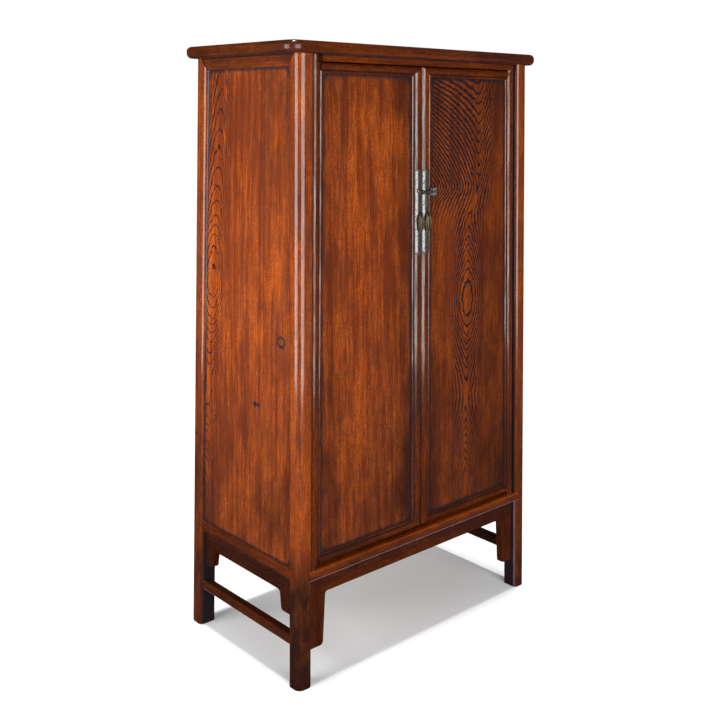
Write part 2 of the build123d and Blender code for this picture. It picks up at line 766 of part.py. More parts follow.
# Posts: the blank with the mortises and grooves of what joins it
side_rooms = [side_panel_room]
for heights in (side_head_tenon, base_tenon, stretcher_tenon):
    side_rooms += end_tenons(left, side_edge, *heights, side_tenon_length, *side_depths, slide_gap)
for low in bearer_lows:
    side_rooms += bearer_tenons(low, slide_gap)
spandrel_room = post_tongue(left, side_edge, side_spandrel_low, base_rail_low, -1, slide_gap)
side_rooms += both_ends(spandrel_room)
side_rooms += head_mitre(-1.0, side_head_lap + slide_gap, slide_gap)

front_rooms = end_tenons(front, front_edge, *sill_tenon, front_tenon_length, *front_depths, slide_gap)
front_rooms += end_tenons(front, front_edge, *front_head_tenon, front_tenon_length, *front_head_depths,
                          slide_gap)
front_rooms += [post_tongue(front, front_edge, front_spandrel_low, sill_low, -1, slide_gap)]

back_rooms = end_tenons(back, front_edge, *back_head_tenon, front_tenon_length, *front_depths, slide_gap)
back_rooms += end_tenons(back, front_edge, *base_tenon, front_tenon_length, *front_depths, slide_gap)
back_rooms += [post_tongue(back, front_edge, side_apron_low - 5, base_rail_low + 5, 1, slide_gap)]
back_rooms += [back_panel_room]

with BuildPart() as post_front_left:
    add(post_blank(post_size, post_size, 0.0))
    add(side_rooms + front_rooms, mode=Mode.SUBTRACT)
    add(post_tenon(0.0))
pieces["post_front_left"] = post_front_left.part

with BuildPart() as post_back_left:
    mirror(post_blank(back_post_width, back_post_depth, 0.0), about=Plane.XZ)
    add(side_rooms + back_rooms, mode=Mode.SUBTRACT)
    mirror(post_tenon(0.0), about=Plane.XZ)
pieces["post_back_left"] = post_back_left.part

# Left door.  Distances across a member run from its outer edge, depths from the door's face.
def stile_line(height, inset):
    """The left pivot stile's edge, or a line parallel to it, in the front plane."""
    return front_edge(height, pivot_gap + inset)


door_origin = front.from_local_coords((0, 0, -door_recess))
door_plane = Plane(origin=door_origin, x_dir=front.x_dir, z_dir=front.z_dir)
meeting_inner = meeting_edge - stile_face
rail_top_low = door_top - rail_face
rail_low_top = door_low + rail_face
bar_top_low = door_top - rail_bar
bar_low_top = door_low + rail_bar


def pivot_mitre(share, bar_height, corner_height):
    """A point on the short mitre beside a pivot stile: 0 at the rail's butt end, 1 at the inner corner."""
    height = bar_height + (corner_height - bar_height) * share
    return (stile_line(height, butt_line + (stile_face - butt_line) * share), height)


def meeting_mitre(share, outer_height, corner_height):
    """A point on the full mitre at a meeting stile: 0 at the outer corner, 1 at the inner one."""
    return (meeting_edge - stile_face * share, outer_height + (corner_height - outer_height) * share)


butt_line = bar_width + 0.4
pivot_low_butt = pivot_mitre(0, bar_low_top, rail_low_top)
pivot_low_corner = pivot_mitre(member_over, bar_low_top, rail_low_top)
pivot_top_butt = pivot_mitre(0, bar_top_low, rail_top_low)
pivot_top_corner = pivot_mitre(member_over, bar_top_low, rail_top_low)
meeting_low_tip = meeting_mitre(1 - member_over, door_low, rail_low_top)
meeting_low_corner = meeting_mitre(member_over, door_low, rail_low_top)
meeting_top_tip = meeting_mitre(1 - member_over, door_top, rail_top_low)
meeting_top_corner = meeting_mitre(member_over, door_top, rail_top_low)
over_low, over_top = meeting_low_tip[1], meeting_top_tip[1]

pivot_outline = [
    (stile_line(door_low, -1), door_low),
    (stile_line(door_low, butt_line), door_low),
    pivot_low_butt,
    pivot_low_corner,
    pivot_top_corner,
    pivot_top_butt,
    (stile_line(door_top, butt_line), door_top),
    (stile_line(door_top, -1), door_top),
]
top_outline = [
    pivot_top_butt,
    pivot_top_corner,
    meeting_top_corner,
    meeting_top_tip,
    (stile_line(over_top, butt_line), over_top),
]
low_outline = [
    pivot_low_butt,
    (stile_line(over_low, butt_line), over_low),
    meeting_low_tip,
    meeting_low_corner,
    pivot_low_corner,
]
meeting_outline = [meeting_low_tip, meeting_top_tip, meeting_top_corner, meeting_low_corner]


def door_panel_slab(tongue, gap):
    """The left door's panel with its tongues, or the room for it."""
    low, high = rail_low_top - tongue, rail_top_low + tongue
    inner = meeting_inner + tongue
    corners = [(stile_line(low, stile_face - tongue), low), (inner, low), (inner, high),
               (stile_line(high, stile_face - tongue), high)]
    return slab(door_plane, corners, door_panel_depth - gap, door_panel_depth + door_panel_thickness + gap)


def door_member(section, face_width, outline, round_edge=False):
    """A frame member: the bar and bead moulding, trimmed to its outline and grooved for the panel."""
    bar = face_width * bar_share
    crest = bar / 2
    with BuildPart() as member:
        with BuildSketch(section):
            with BuildLine():
                if round_edge:
                    ThreePointArc((pivot_radius, door_thickness), (0, pivot_radius), (pivot_radius, 0))
                    TangentArc((pivot_radius, 0), (bar, bar_drop), tangent=(1, 0))
                    Line((face_width, door_thickness), (pivot_radius, door_thickness))
                else:
                    ThreePointArc((0, bar_drop), (crest, 0), (bar, bar_drop))
                    Line((face_width, door_thickness), (0, door_thickness))
                    Line((0, door_thickness), (0, bar_drop))
                Line((bar, bar_drop), (bar, quirk_depth))
                ThreePointArc((bar, quirk_depth), ((bar + face_width) / 2, bead_crest), (face_width, quirk_depth))
                Line((face_width, quirk_depth), (face_width, door_thickness))
            make_face()
        extrude(amount=reach, both=True)
        add(slab(door_plane, outline, -1, door_thickness + 1), mode=Mode.INTERSECT)
        add(door_panel_slab(groove_depth, slide_gap), mode=Mode.SUBTRACT)
    return member.part


def door_tenons(grow=0.0):
    """The tenons of the door's two rails in its stiles, in the layer of the panel groove."""
    depths = (door_panel_depth, door_panel_depth + door_panel_thickness)
    tenons = []
    for low in (door_top - door_tenon_height - 4, door_low + 4):
        heights = (low, low + door_tenon_height)
        shoulder_x = stile_line(low, bar_width)
        tenons.append(block(door_plane, (shoulder_x - door_tenon_length, shoulder_x + 3), heights, depths, grow))
        tenons.append(block(door_plane, (meeting_edge - 2 * door_tenon_length, meeting_edge - 8), heights, depths,
                            grow))
    return tenons


pivot_section = Plane(origin=pivot_plane.from_local_coords((-pivot_radius, -pivot_radius, 0)),
                      x_dir=pivot_plane.x_dir, z_dir=pivot_plane.z_dir)
top_section = Plane(origin=door_plane.from_local_coords((0, door_top, 0)), x_dir=-front.y_dir, z_dir=front.x_dir)
low_section = Plane(origin=door_plane.from_local_coords((0, door_low, 0)), x_dir=front.y_dir, z_dir=-front.x_dir)
meeting_section = Plane(origin=door_plane.from_local_coords((meeting_edge, 0, 0)), x_dir=-front.x_dir,
                        z_dir=-front.y_dir)

with BuildPart() as left_pivot_stile:
    add(door_member(pivot_section, stile_face, pivot_outline, round_edge=True))
    add(pivot_bore(horn_low, low_horn_length, pivot_radius - horn_step))
    add(pivot_bore(horn_top - top_horn_length, top_horn_length, pivot_radius - horn_step))
    add(pivot_bore(horn_low - pivot_pin_length, pivot_pin_length + 1, pivot_pin_radius))
    add(pivot_bore(horn_top - 1, pivot_pin_length + 1, pivot_pin_radius))
    add(door_tenons(slide_gap), mode=Mode.SUBTRACT)
pieces["left_pivot_stile"] = left_pivot_stile.part

with BuildPart() as left_top_rail:
    add(door_member(top_section, rail_face, top_outline))
    add(door_tenons()[0:2])
pieces["left_top_rail"] = left_top_rail.part

with BuildPart() as left_bottom_rail:
    add(door_member(low_section, rail_face, low_outline))
    add(door_tenons()[2:4])
pieces["left_bottom_rail"] = left_bottom_rail.part

batten_clear = [
    (stile_line(rail_low_top, stile_face + slide_gap), rail_low_top),
    (meeting_inner - slide_gap, rail_low_top),
    (meeting_inner - slide_gap, rail_top_low),
    (stile_line(rail_top_low, stile_face + slide_gap), rail_top_low),
]
panel_back = door_panel_depth + door_panel_thickness
with BuildPart() as left_door_battens:
    with BuildSketch(cross_plane(door_plane)):
        for share in door_batten_shares:
            height = door_low + share * (door_top - door_low)
            half = door_batten_width / 2
            Polygon(
                (panel_back - dovetail_depth, height - half),
                (panel_back, height - half + dovetail_flare),
                (door_thickness, height - half + dovetail_flare),
                (door_thickness, height + half - dovetail_flare),
                (panel_back, height + half - dovetail_flare),
                (panel_back - dovetail_depth, height + half),
                align=None,
            )
    extrude(amount=reach, both=True)
    add(slab(door_plane, batten_clear, 0, door_thickness), mode=Mode.INTERSECT)
pieces["left_door_battens"] = left_door_battens.part

with BuildPart() as left_door_panel:
    add(door_panel_slab(panel_tongue, 0.0))
    add(left_door_battens.part, mode=Mode.SUBTRACT)
pieces["left_door_panel"] = left_door_panel.part

# Metal mounts: a plate bent over each meeting stile, an eye and its pull, a lug, and the lock
eye_plane = Plane(origin=door_plane.from_local_coords((stile_crest, eye_height, eye_proud)),
                  x_dir=front.y_dir, z_dir=front.x_dir)
shank_plane = Plane(origin=door_plane.from_local_coords((stile_crest, eye_height, eye_proud - eye_radius)),
                    x_dir=front.x_dir, z_dir=-front.z_dir)


def eye_shank(half):
    """The flat legs of the left eye's split pin, from the ring into the stile."""
    with BuildPart() as shank:
        with BuildSketch(shank_plane):
            Rectangle(2 * half, 2 * half)
        extrude(amount=eye_proud - eye_radius + shank_depth)
    return shank.part


def lug(x, hole_radius):
    """A lock lug: a flat tongue with a round nose and an eye, and a shank in the stile."""
    with BuildPart() as tongue:
        with BuildSketch(cross_plane(door_plane).offset(x - lug_thickness / 2)):
            with Locations((-lock_axis_proud, lug_height)):
                Circle(lug_round)
            with Locations(((bar_drop - lock_axis_proud) / 2, lug_height)):
                Rectangle(lock_axis_proud + bar_drop, 2 * lug_round)
        extrude(amount=lug_thickness)
    with BuildPart() as finished:
        add(tongue.part)
        add(plate_cover(plate_thickness + slide_gap), mode=Mode.SUBTRACT)
        mirror(plate_cover(plate_thickness + slide_gap), about=Plane.YZ, mode=Mode.SUBTRACT)
        add(lug_shank(x, 0.0))
        with BuildSketch(cross_plane(door_plane).offset(x - lug_thickness)):
            with Locations((-lock_axis_proud, lug_height)):
                Circle(hole_radius)
        extrude(amount=2 * lug_thickness, mode=Mode.SUBTRACT)
    return finished.part


def lug_shank(x, grow):
    """The shank of a lug, or its slot in the plate and stile."""
    heights = (lug_height - lug_shank_height / 2, lug_height + lug_shank_height / 2)
    half = lug_thickness / 2
    return block(door_plane, (x - half, x + half), heights, (1 - lock_axis_proud + lug_round / 2, shank_depth), grow)


def plate_cover(thickness, inner=-1.0):
    """The left stile's rounded bar, and what lies on it up to a thickness, over the plate's length."""
    half = bar_width / 2
    outer = bar_round + thickness
    across = half + 1.0
    with BuildPart() as cover:
        with BuildSketch(Plane(origin=door_plane.from_local_coords((stile_crest, plate_low - 5, 0)),
                               x_dir=front.x_dir, z_dir=front.y_dir)):
            with BuildLine():
                drop = bar_round - sqrt(outer**2 - across**2)
                ThreePointArc((-across, drop), (0, -thickness), (across, drop))
                Polyline((across, drop), (across, door_thickness), (-across, door_thickness), (-across, drop))
            make_face()
        extrude(amount=plate_top - plate_low + 10)
    return cover.part


plate_section = Plane(origin=door_plane.from_local_coords((stile_crest, plate_low, 0)),
                      x_dir=front.x_dir, z_dir=front.y_dir)
with BuildPart() as left_plate_blank:
    with BuildSketch(plate_section):
        with BuildLine():
            reach_x = bar_width / 2 - plate_margin
            near_arc = bar_round + joint_gap / 2
            far_arc = near_arc + plate_thickness
            near_drop = bar_round - sqrt(near_arc**2 - reach_x**2)
            far_drop = bar_round - sqrt(far_arc**2 - reach_x**2)
            ThreePointArc((-reach_x, near_drop), (0, bar_round - near_arc), (reach_x, near_drop))
            Line((reach_x, near_drop), (reach_x, far_drop))
            ThreePointArc((reach_x, far_drop), (0, bar_round - far_arc), (-reach_x, far_drop))
            Line((-reach_x, far_drop), (-reach_x, near_drop))
        make_face()
    extrude(amount=plate_top - plate_low)
    add(eye_shank(shank_half + slide_gap), mode=Mode.SUBTRACT)

with BuildPart() as left_meeting_blank:
    add(door_member(meeting_section, stile_face, meeting_outline))
    add(door_tenons(slide_gap), mode=Mode.SUBTRACT)
    add(eye_shank(shank_half + slide_gap), mode=Mode.SUBTRACT)

with BuildPart() as left_eye:
    with BuildSketch(eye_plane.offset(-eye_wire_radius)):
        Circle(eye_radius + eye_wire_radius)
        Circle(eye_radius - eye_wire_radius, mode=Mode.SUBTRACT)
    extrude(amount=2 * eye_wire_radius)
    add(eye_shank(shank_half))

with BuildPart() as left_face_plate:
    add(left_plate_blank.part)
    add(lug_shank(left_lug_x, slide_gap), mode=Mode.SUBTRACT)
pieces["left_face_plate"] = left_face_plate.part

with BuildPart() as left_meeting_stile:
    add(left_meeting_blank.part)
    add(lug_shank(left_lug_x, slide_gap), mode=Mode.SUBTRACT)
pieces["left_meeting_stile"] = left_meeting_stile.part

with BuildPart() as left_staples:
    add(left_eye.part)
    add(lug(left_lug_x, lock_rod_radius + 4 * slide_gap))
pieces["left_staples"] = left_staples.part

end_rise = pull_length / 2 - pull_end_round
side_round = (pull_width**2 / 4 + end_rise**2 - pull_end_round**2) / (pull_width - 2 * pull_end_round)
join_x = (side_round - pull_width / 2) * pull_end_round / (side_round - pull_end_round)
join_y = end_rise * side_round / (side_round - pull_end_round)
pull_plane = Plane(origin=eye_plane.origin + Vector(0, 0, pull_head - pull_length / 2), x_dir=(1, 0, 0),
                   z_dir=(0, -1, 0))
with BuildPart() as left_pull:
    with BuildSketch(pull_plane.offset(-pull_thickness / 2)):
        with BuildLine():
            ThreePointArc((-join_x, join_y), (0, pull_length / 2), (join_x, join_y))
            ThreePointArc((join_x, join_y), (pull_width / 2, 0), (join_x, -join_y))
            ThreePointArc((join_x, -join_y), (0, -pull_length / 2), (-join_x, -join_y))
            ThreePointArc((-join_x, -join_y), (-pull_width / 2, 0), (-join_x, join_y))
        make_face()
        with Locations((0, pull_length / 2 - pull_head - eye_radius)):
            Circle(pull_hole_radius, mode=Mode.SUBTRACT)
    extrude(amount=pull_thickness)
pieces["left_pull"] = left_pull.part

# Mirror images on the right
for name in list(pieces):
    if "left" in name and name not in ("left_face_plate", "left_meeting_stile", "left_staples"):
        with BuildPart() as right_piece:
            mirror(pieces[name], about=Plane.YZ)
        pieces[name.replace("left", "right")] = right_piece.part

with BuildPart() as right_face_plate:
    mirror(left_plate_blank.part, about=Plane.YZ)
    add(lug_shank(right_lug_x, slide_gap), mode=Mode.SUBTRACT)
pieces["right_face_plate"] = right_face_plate.part

with BuildPart() as right_meeting_stile:
    mirror(left_meeting_blank.part, about=Plane.YZ)
    add(lug_shank(right_lug_x, slide_gap), mode=Mode.SUBTRACT)
pieces["right_meeting_stile"] = right_meeting_stile.part

with BuildPart() as right_staples:
    mirror(left_eye.part, about=Plane.YZ)
    add(lug(right_lug_x, lock_rod_radius + pivot_running_gap))
pieces["right_staples"] = right_staples.part

# Lock: a rod through the right lug, with a small body and a cap plate on its outer end
lock_section = cross_plane(door_plane)
with BuildPart() as lock_pin:
    with BuildSketch(lock_section.offset(lock_rod_left)):
        with Locations((-lock_axis_proud, lug_height)):
            Circle(lock_rod_radius)
    extrude(amount=lock_rod_right - lock_rod_left)
    with BuildSketch(lock_section.offset(lock_body_left)):
        with Locations((-lock_axis_proud, lug_height)):
            Rectangle(lock_body_depth, lock_body_height)
    extrude(amount=lock_body_right - lock_body_left)
pieces["lock_pin"] = lock_pin.part

with BuildPart() as lock_cap:
    with BuildSketch(lock_section.offset(lock_body_right)):
        with Locations((-lock_axis_proud, lug_height)):
            Rectangle(lock_body_depth + 2 * lock_cap_margin, lock_body_height + 2 * lock_cap_margin)
            Circle(lock_rod_radius + slide_gap / 2, mode=Mode.SUBTRACT)
    extrude(amount=lock_cap_thickness)
pieces["lock_cap"] = lock_cap.part

os.makedirs("parts", exist_ok=True)
for name, part in pieces.items():
    part.label = name
    export_step(part, f"parts/{name}.step")
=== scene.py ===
"""Finish of a tall tapered book cabinet: lacquered elm, white metal mounts, a plain studio and its camera."""

import bpy
import numpy as np
from mathutils import Matrix, Vector


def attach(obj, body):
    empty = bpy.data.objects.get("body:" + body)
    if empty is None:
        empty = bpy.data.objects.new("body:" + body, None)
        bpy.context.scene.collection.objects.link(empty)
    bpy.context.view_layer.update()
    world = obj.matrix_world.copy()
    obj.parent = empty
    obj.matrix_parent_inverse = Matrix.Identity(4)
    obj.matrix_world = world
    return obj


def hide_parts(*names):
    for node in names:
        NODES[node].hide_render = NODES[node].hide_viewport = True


bl_info = {
    "name": "Book cabinet finish",
    "version": (1, 0, 0),
    "blender": (4, 5, 0),
    "location": "3D View > Sidebar > Book cabinet",
    "description": "Finishes, metal mounts and studio of a tall two-door book cabinet",
    "category": "Object",
}

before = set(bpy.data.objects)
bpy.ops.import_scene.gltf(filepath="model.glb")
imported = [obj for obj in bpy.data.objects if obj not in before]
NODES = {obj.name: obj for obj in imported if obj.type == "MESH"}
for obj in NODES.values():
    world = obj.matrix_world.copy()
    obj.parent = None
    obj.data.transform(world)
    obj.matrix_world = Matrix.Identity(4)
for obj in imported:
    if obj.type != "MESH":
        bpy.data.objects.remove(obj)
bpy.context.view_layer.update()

# Sizes of the cabinet that the finishes follow, in metres.  A lean is metres sideways for each metre up.
FOOT_X = 0.5065  # half the width and half the depth at the floor
FOOT_Y = 0.2815
POST = 0.0505
BACK_POST_DEPTH = 0.058
LEAN_X = 0.026874
LEAN_Y = 0.022348
# A dark line of painted shade is drawn in the crease under the cap's round edge and along a head rail's top
# and lower edges.
CAP_GROOVE = 1.7700  # the line under the cap's round edge
HEAD_RAIL_EDGES = (1.7665, 1.7345)
SIDE_LOW = 0.358
SIDE_TOP = 1.734
SIDE_JOINTS = (0.102, 0.015, -0.065)  # between the boards of a side, from the back to the front
ARCHES_FROM = 1.33  # the height at which the figure of a side's back board changes
SILL_TOP = 0.349
SILL_END = -0.4655
# Heights of the lower edges along which a pale line of painted highlight is drawn.
HIGHLIGHT_EDGES = {"sill": 0.3245, "base_rail_left": 0.3235, "base_rail_right": 0.3235,
                "stretcher_left": 0.1235, "stretcher_right": 0.1235}

# The doors
STILE = 0.038
BAR_SHARE = 0.74  # how much of a stile or rail its raised bar takes; the rest is the slope to the panel
BAR = STILE * BAR_SHARE
DOOR_LOW = 0.359
DOOR_TOP = 1.748
DOOR_RAIL = 0.027
PIVOT_GAP = 0.002  # between a door and its post
MEETING_GAP = 0.001  # from a door to the middle of the cabinet
POINTS_FROM = 1.355  # the height at which the right door's figure changes

# The mounts
PLATE_LOW = 1.2111
PLATE_TOP = 1.4580
ROD_HEIGHT = 1.3926
EYE = (0.01506, -0.25077, 1.33014)  # where the right pull hangs
LEAF_DROP = 0.0265  # from the eye down to the leaf's middle
LEAF_HOLE_DROP = 0.005
LEAF_HALF_WIDTH = 0.0130
LEAF_HALF_LENGTH = 0.0280
HEART_PLACE = (-0.0160, -0.2436, 1.3935)
HEART_WIDTH = 0.020
HEART_THICKNESS = 0.0022
STILE_ROUND = 0.0265  # radius of the meeting stile's round face

# The studio
FLOOR_HALF = 40.0
LIGHT_TARGET = (-0.48, -0.26, 1.15)
LIGHT_SIZE = (2.6, 2.3)
SIDE_LIGHT_PLACE = (-3.36, 0.57, 1.30)
FRONT_LIGHT_PLACE = (-0.80, -3.24, 1.30)
TOP_LIGHT_DIRECTION = (-0.01, -0.02, -1.0)
TOP_LIGHT_ANGLE = 0.09  # how wide the top light looks from the floor, in radians
SENSOR_WIDTH = 36.0  # in millimetres
CAMERA_PLACE = (-2.0795, -2.2725, 1.6253)
CAMERA_ANGLES = (0.7343, 0.2045, 0.0069)  # yaw, pitch and roll, in radians
CAMERA_SHIFT = (0.00028, -0.0625)


# ---------------------------------------------------------------- shader expressions

class Signal:
    """A shader socket that can be used in sums: each operator adds one Math node to its tree."""

    def __init__(self, tree, socket):
        self.tree = tree
        self.socket = socket

    def math(self, operation, *others):
        return self.tree.node("ShaderNodeMath", {"operation": operation}, [self, *others])

    def __add__(self, other):
        return self.math("ADD", other)

    def __sub__(self, other):
        return self.math("SUBTRACT", other)

    def __mul__(self, other):
        return self.math("MULTIPLY", other)

    def __truediv__(self, other):
        return self.math("DIVIDE", other)

    def __pow__(self, other):
        return self.math("POWER", other)

    def __neg__(self):
        return self.math("MULTIPLY", -1.0)

    def __abs__(self):
        return self.math("ABSOLUTE")

    def __rsub__(self, other):
        return self.tree.node("ShaderNodeMath", {"operation": "SUBTRACT"}, [other, self])

    __radd__ = __add__
    __rmul__ = __mul__

    def clamp(self):
        return self.tree.node("ShaderNodeClamp", {}, [self, 0.0, 1.0])

    def step(self, low, high):
        """0 below low and 1 above high, smooth between; low may lie above high to turn it round."""
        settings = {"interpolation_type": "SMOOTHSTEP"}
        return self.tree.node("ShaderNodeMapRange", settings, [self, low, high, 0.0, 1.0])


class Tree:
    """The node tree of one material or world, emptied first."""

    def __init__(self, owner):
        owner.use_nodes = True
        self.owner = owner
        self.nodes = owner.node_tree.nodes
        self.links = owner.node_tree.links
        self.nodes.clear()

    def put(self, socket, value):
        """Links a signal to a socket, or sets the socket to a plain value."""
        if isinstance(value, Signal):
            self.links.new(value.socket, socket)
        elif value is not None:
            socket.default_value = value

    def node(self, kind, settings, values, output=0):
        """Adds a node: its settings first, then the values or links of its inputs, by number or by name."""
        made = self.nodes.new(kind)
        for key, value in settings.items():
            setattr(made, key, value)
        pairs = values.items() if isinstance(values, dict) else enumerate(values)
        for key, value in pairs:
            self.put(made.inputs[key], value)
        return Signal(self, made.outputs[output])

    def place(self):
        """The cabinet's own coordinates, x, y and z, as three signals."""
        vector = self.node("ShaderNodeTexCoord", {}, [], "Object")
        split = self.nodes.new("ShaderNodeSeparateXYZ")
        self.put(split.inputs[0], vector)
        return [Signal(self, socket) for socket in split.outputs]

    def vector(self, x, y, z):
        return self.node("ShaderNodeCombineXYZ", {}, [x, y, z])

    def noise(self, vector, scale=1.0, detail=2.0, roughness=0.5):
        """Fractal noise from 0 to 1, mostly near 0.5."""
        values = {"Vector": vector, "Scale": scale, "Detail": detail, "Roughness": roughness}
        return self.node("ShaderNodeTexNoise", {}, values)

    def mix(self, share, first, second):
        """A blend of two colours, each a signal or three numbers: share is how much of the second."""
        made = self.nodes.new("ShaderNodeMix")
        made.data_type = "RGBA"
        for index, value in ((0, share), (6, first), (7, second)):
            self.put(made.inputs[index], (*value, 1.0) if isinstance(value, tuple) else value)
        return Signal(self, made.outputs[2])

    def bump(self, height, strength, distance):
        values = {"Height": height, "Strength": strength, "Distance": distance}
        return self.node("ShaderNodeBump", {}, values, "Normal")

    def output(self, shader, kind="ShaderNodeOutputMaterial"):
        """Ends the tree with a shader and returns its material or world."""
        self.links.new(shader.socket, self.nodes.new(kind).inputs["Surface"])
        return self.owner

    def surface(self, values):
        return self.output(self.node("ShaderNodeBsdfPrincipled", {}, values))


def new_tree(name):
    """The tree of a new material."""
    return Tree(bpy.data.materials.new(name))


# ---------------------------------------------------------------- settings

class CabinetFinish(bpy.types.PropertyGroup):
    light_wood: bpy.props.FloatVectorProperty(
        name="Light wood", description="Colour of the wood between its growth lines",
        subtype="COLOR", size=3, default=(0.36, 0.071, 0.006), min=0.0, max=1.0)
    mid_wood: bpy.props.FloatVectorProperty(
        name="Middle wood", description="Colour of the wood's darker streaks and clouds",
        subtype="COLOR", size=3, default=(0.125, 0.020, 0.003), min=0.0, max=1.0)
    # Colour of the pores, and of the darker tone laid over parts of pieces, which is mostly painted shade.
    dark_wood_and_shade: bpy.props.FloatVectorProperty(
        name="Dark wood", description="Colour of the growth lines and of the lacquer in corners",
        subtype="COLOR", size=3, default=(0.022, 0.006, 0.003), min=0.0, max=1.0)
    gloss: bpy.props.FloatProperty(
        name="Gloss", description="Strength of the clear coat over the lacquer",
        subtype="FACTOR", default=1.0, min=0.0, max=1.0)
    white_metal: bpy.props.FloatVectorProperty(
        name="White metal", description="Colour of the polished plates and staples",
        subtype="COLOR", size=3, default=(0.125, 0.123, 0.116), min=0.0, max=1.0)
    patina: bpy.props.FloatVectorProperty(
        name="Patina", description="Colour of the tarnish on the plates",
        subtype="COLOR", size=3, default=(0.040, 0.027, 0.015), min=0.0, max=1.0)
    # Colour of the growth lines, of real dirt and dark joints, and of the painted shade drawn in creases and
    # along the edges of panels.
    grime_and_shade: bpy.props.FloatVectorProperty(
        name="Grime", description="Colour of the old dirt in grooves and along the edges of panels",
        subtype="COLOR", size=3, default=(0.010, 0.007, 0.011), min=0.0, max=1.0)
    # Colour of a painted highlight: a pale line along lower edges and along the inner corners of the front
    # legs.
    edge_highlight: bpy.props.FloatVectorProperty(
        name="Rubbed edge", description="Pale colour of the lacquer along rubbed lower edges",
        subtype="COLOR", size=3, default=(0.23, 0.19, 0.27), min=0.0, max=1.0)
    bronze: bpy.props.FloatVectorProperty(
        name="Bronze", description="Colour of the two pulls",
        subtype="COLOR", size=3, default=(0.12, 0.085, 0.055), min=0.0, max=1.0)


class CabinetStudio(bpy.types.PropertyGroup):
    lens: bpy.props.FloatProperty(
        name="Lens", description="Focal length on a 36 mm sensor",
        subtype="DISTANCE_CAMERA", default=49.368, min=10.0, max=200.0)
    side_power: bpy.props.FloatProperty(
        name="Side light", description="Power of the tall soft light on the left",
        subtype="POWER", default=125.0, min=0.0)
    front_power: bpy.props.FloatProperty(
        name="Front light", description="Power of the tall soft light in front",
        subtype="POWER", default=125.0, min=0.0)
    top_light: bpy.props.FloatProperty(
        name="Top light", description="Strength of the wide light overhead, which casts the floor's shadow",
        default=2.95, min=0.0, max=10.0)
    room_light: bpy.props.FloatProperty(
        name="Room light", description="Strength of the even light from all around",
        default=0.3, min=0.0, max=2.0)
    mirrored_white: bpy.props.FloatProperty(
        name="Mirrored white", description="How much of the white surroundings the gloss and metal show",
        subtype="FACTOR", default=0.025, min=0.0, max=1.0)


# ---------------------------------------------------------------- finishes

BARE_WOOD = (0.42, 0.27, 0.14)


def shaded(colour, factor):
    """A colour made darker or lighter by a factor."""
    return tuple(float(c) * factor for c in colour)


class Elm:
    """What one piece of lacquered elm looks like.

    along is the run of its grain and lean its slope; tone scales its colours.  bands is the strength of its
    growth lines, ring the space between two of them in metres, share how much of that space a line takes and
    figure the function that lays them out.  seed moves its noise, and streak is the strength of its streaks.
    marks are dark lines and places: dirt, knots, dark joints and painted shade in creases.  fade is a darker
    tone, mostly painted shade lower down or below a lit face, worn bare wood, and rim a pale line of painted
    highlight along an edge.  sheen is the share of the clear coat, and split how much of that comes and goes
    across the grain."""

    def __init__(self, along="Z", lean=(0.0, 0.0), tone=1.0, bands=0.5, ring=0.006, seed=0.0, streak=0.6,
                 figure=None, marks=(), fade=None, worn=None, rim=None, share=0.42, split=0.3, sheen=1.0):
        self.along = along
        self.lean = lean
        self.tone = tone
        self.bands = bands
        self.ring = ring
        self.seed = seed
        self.streak = streak
        self.figure = figure or straight
        self.marks = marks
        self.fade = fade
        self.worn = worn
        self.rim = rim
        self.share = share
        self.split = split
        self.sheen = sheen


def straight(tree, wood, a, b, g):
    """Straight grain: the distance across the grain, swayed slowly along it, and stronger in broad stripes.

    Each figure gives a distance, whose whole steps are the growth lines, their strength, and how much of the
    space between two lines a line takes."""
    sway = tree.noise(tree.vector(a * 4.0 + wood.seed, b * 4.0, g * 0.9), 1.0, 2.0)
    stripes = tree.noise(tree.vector(a * 24.0 + wood.seed, b * 24.0, g * 0.8), 1.0, 2.0)
    return a + b * 0.8 + (sway - 0.5) * 0.05, stripes.step(0.40, 0.70), wood.share


def side_figure(tree, wood, a, b, g):
    """Side boards: straight grain that jumps at each joint, and arches in the back board.

    An arch drops as the square of the distance from its middle, nearly twice as fast to the front as to the
    back.  Above ARCHES_FROM the arches follow each other upwards; below it their order swings by a sine of
    the height, which makes loops."""
    back, middle, front = [(a - joint).math("GREATER_THAN", 0.0) for joint in SIDE_JOINTS]
    jump = back * 0.31 + middle * 0.53 + front * 0.17
    sway = tree.noise(tree.vector(a * 3.0 + jump * 7.0 + wood.seed, jump * 11.0, g * 0.9), 1.0, 2.0)
    stripes = tree.noise(tree.vector(a * 30.0 + jump * 5.0 + wood.seed, 2.0, g * 0.8), 1.0, 2.0)
    stripes = stripes.step(0.45, 0.72)
    plain = a * 0.9 + (sway - 0.5) * 0.06 + jump
    rise = g - ARCHES_FROM
    order = rise.math("MAXIMUM", 0.0) * 0.105 + (rise.math("MINIMUM", 0.0) * 9.0).math("SINE") * 0.024
    uneven = (tree.noise(tree.vector(3.0, 1.0, g * 16.0), 1.0, 1.0) - 0.5) * 0.008
    waver = (tree.noise(tree.vector(a * 14.0, 3.0, g * 9.0), 1.0, 2.0) - 0.5) * 0.012
    across = a - 0.252 + g * 0.080 + waver
    spread = across.math("MAXIMUM", 0.0) ** 2.0 * 4.6 + across.math("MINIMUM", 0.0) ** 2.0 * 8.5
    board = (a - 0.060).step(0.0, 0.020)
    near = abs(across).step(0.085, 0.030)
    distance = plain + board * (order + uneven + spread - plain)
    strength = stripes + board * (near * 1.2 + 0.1 - stripes)
    return distance, strength, abs(across).step(0.0, 0.06) * 0.25 + 0.09


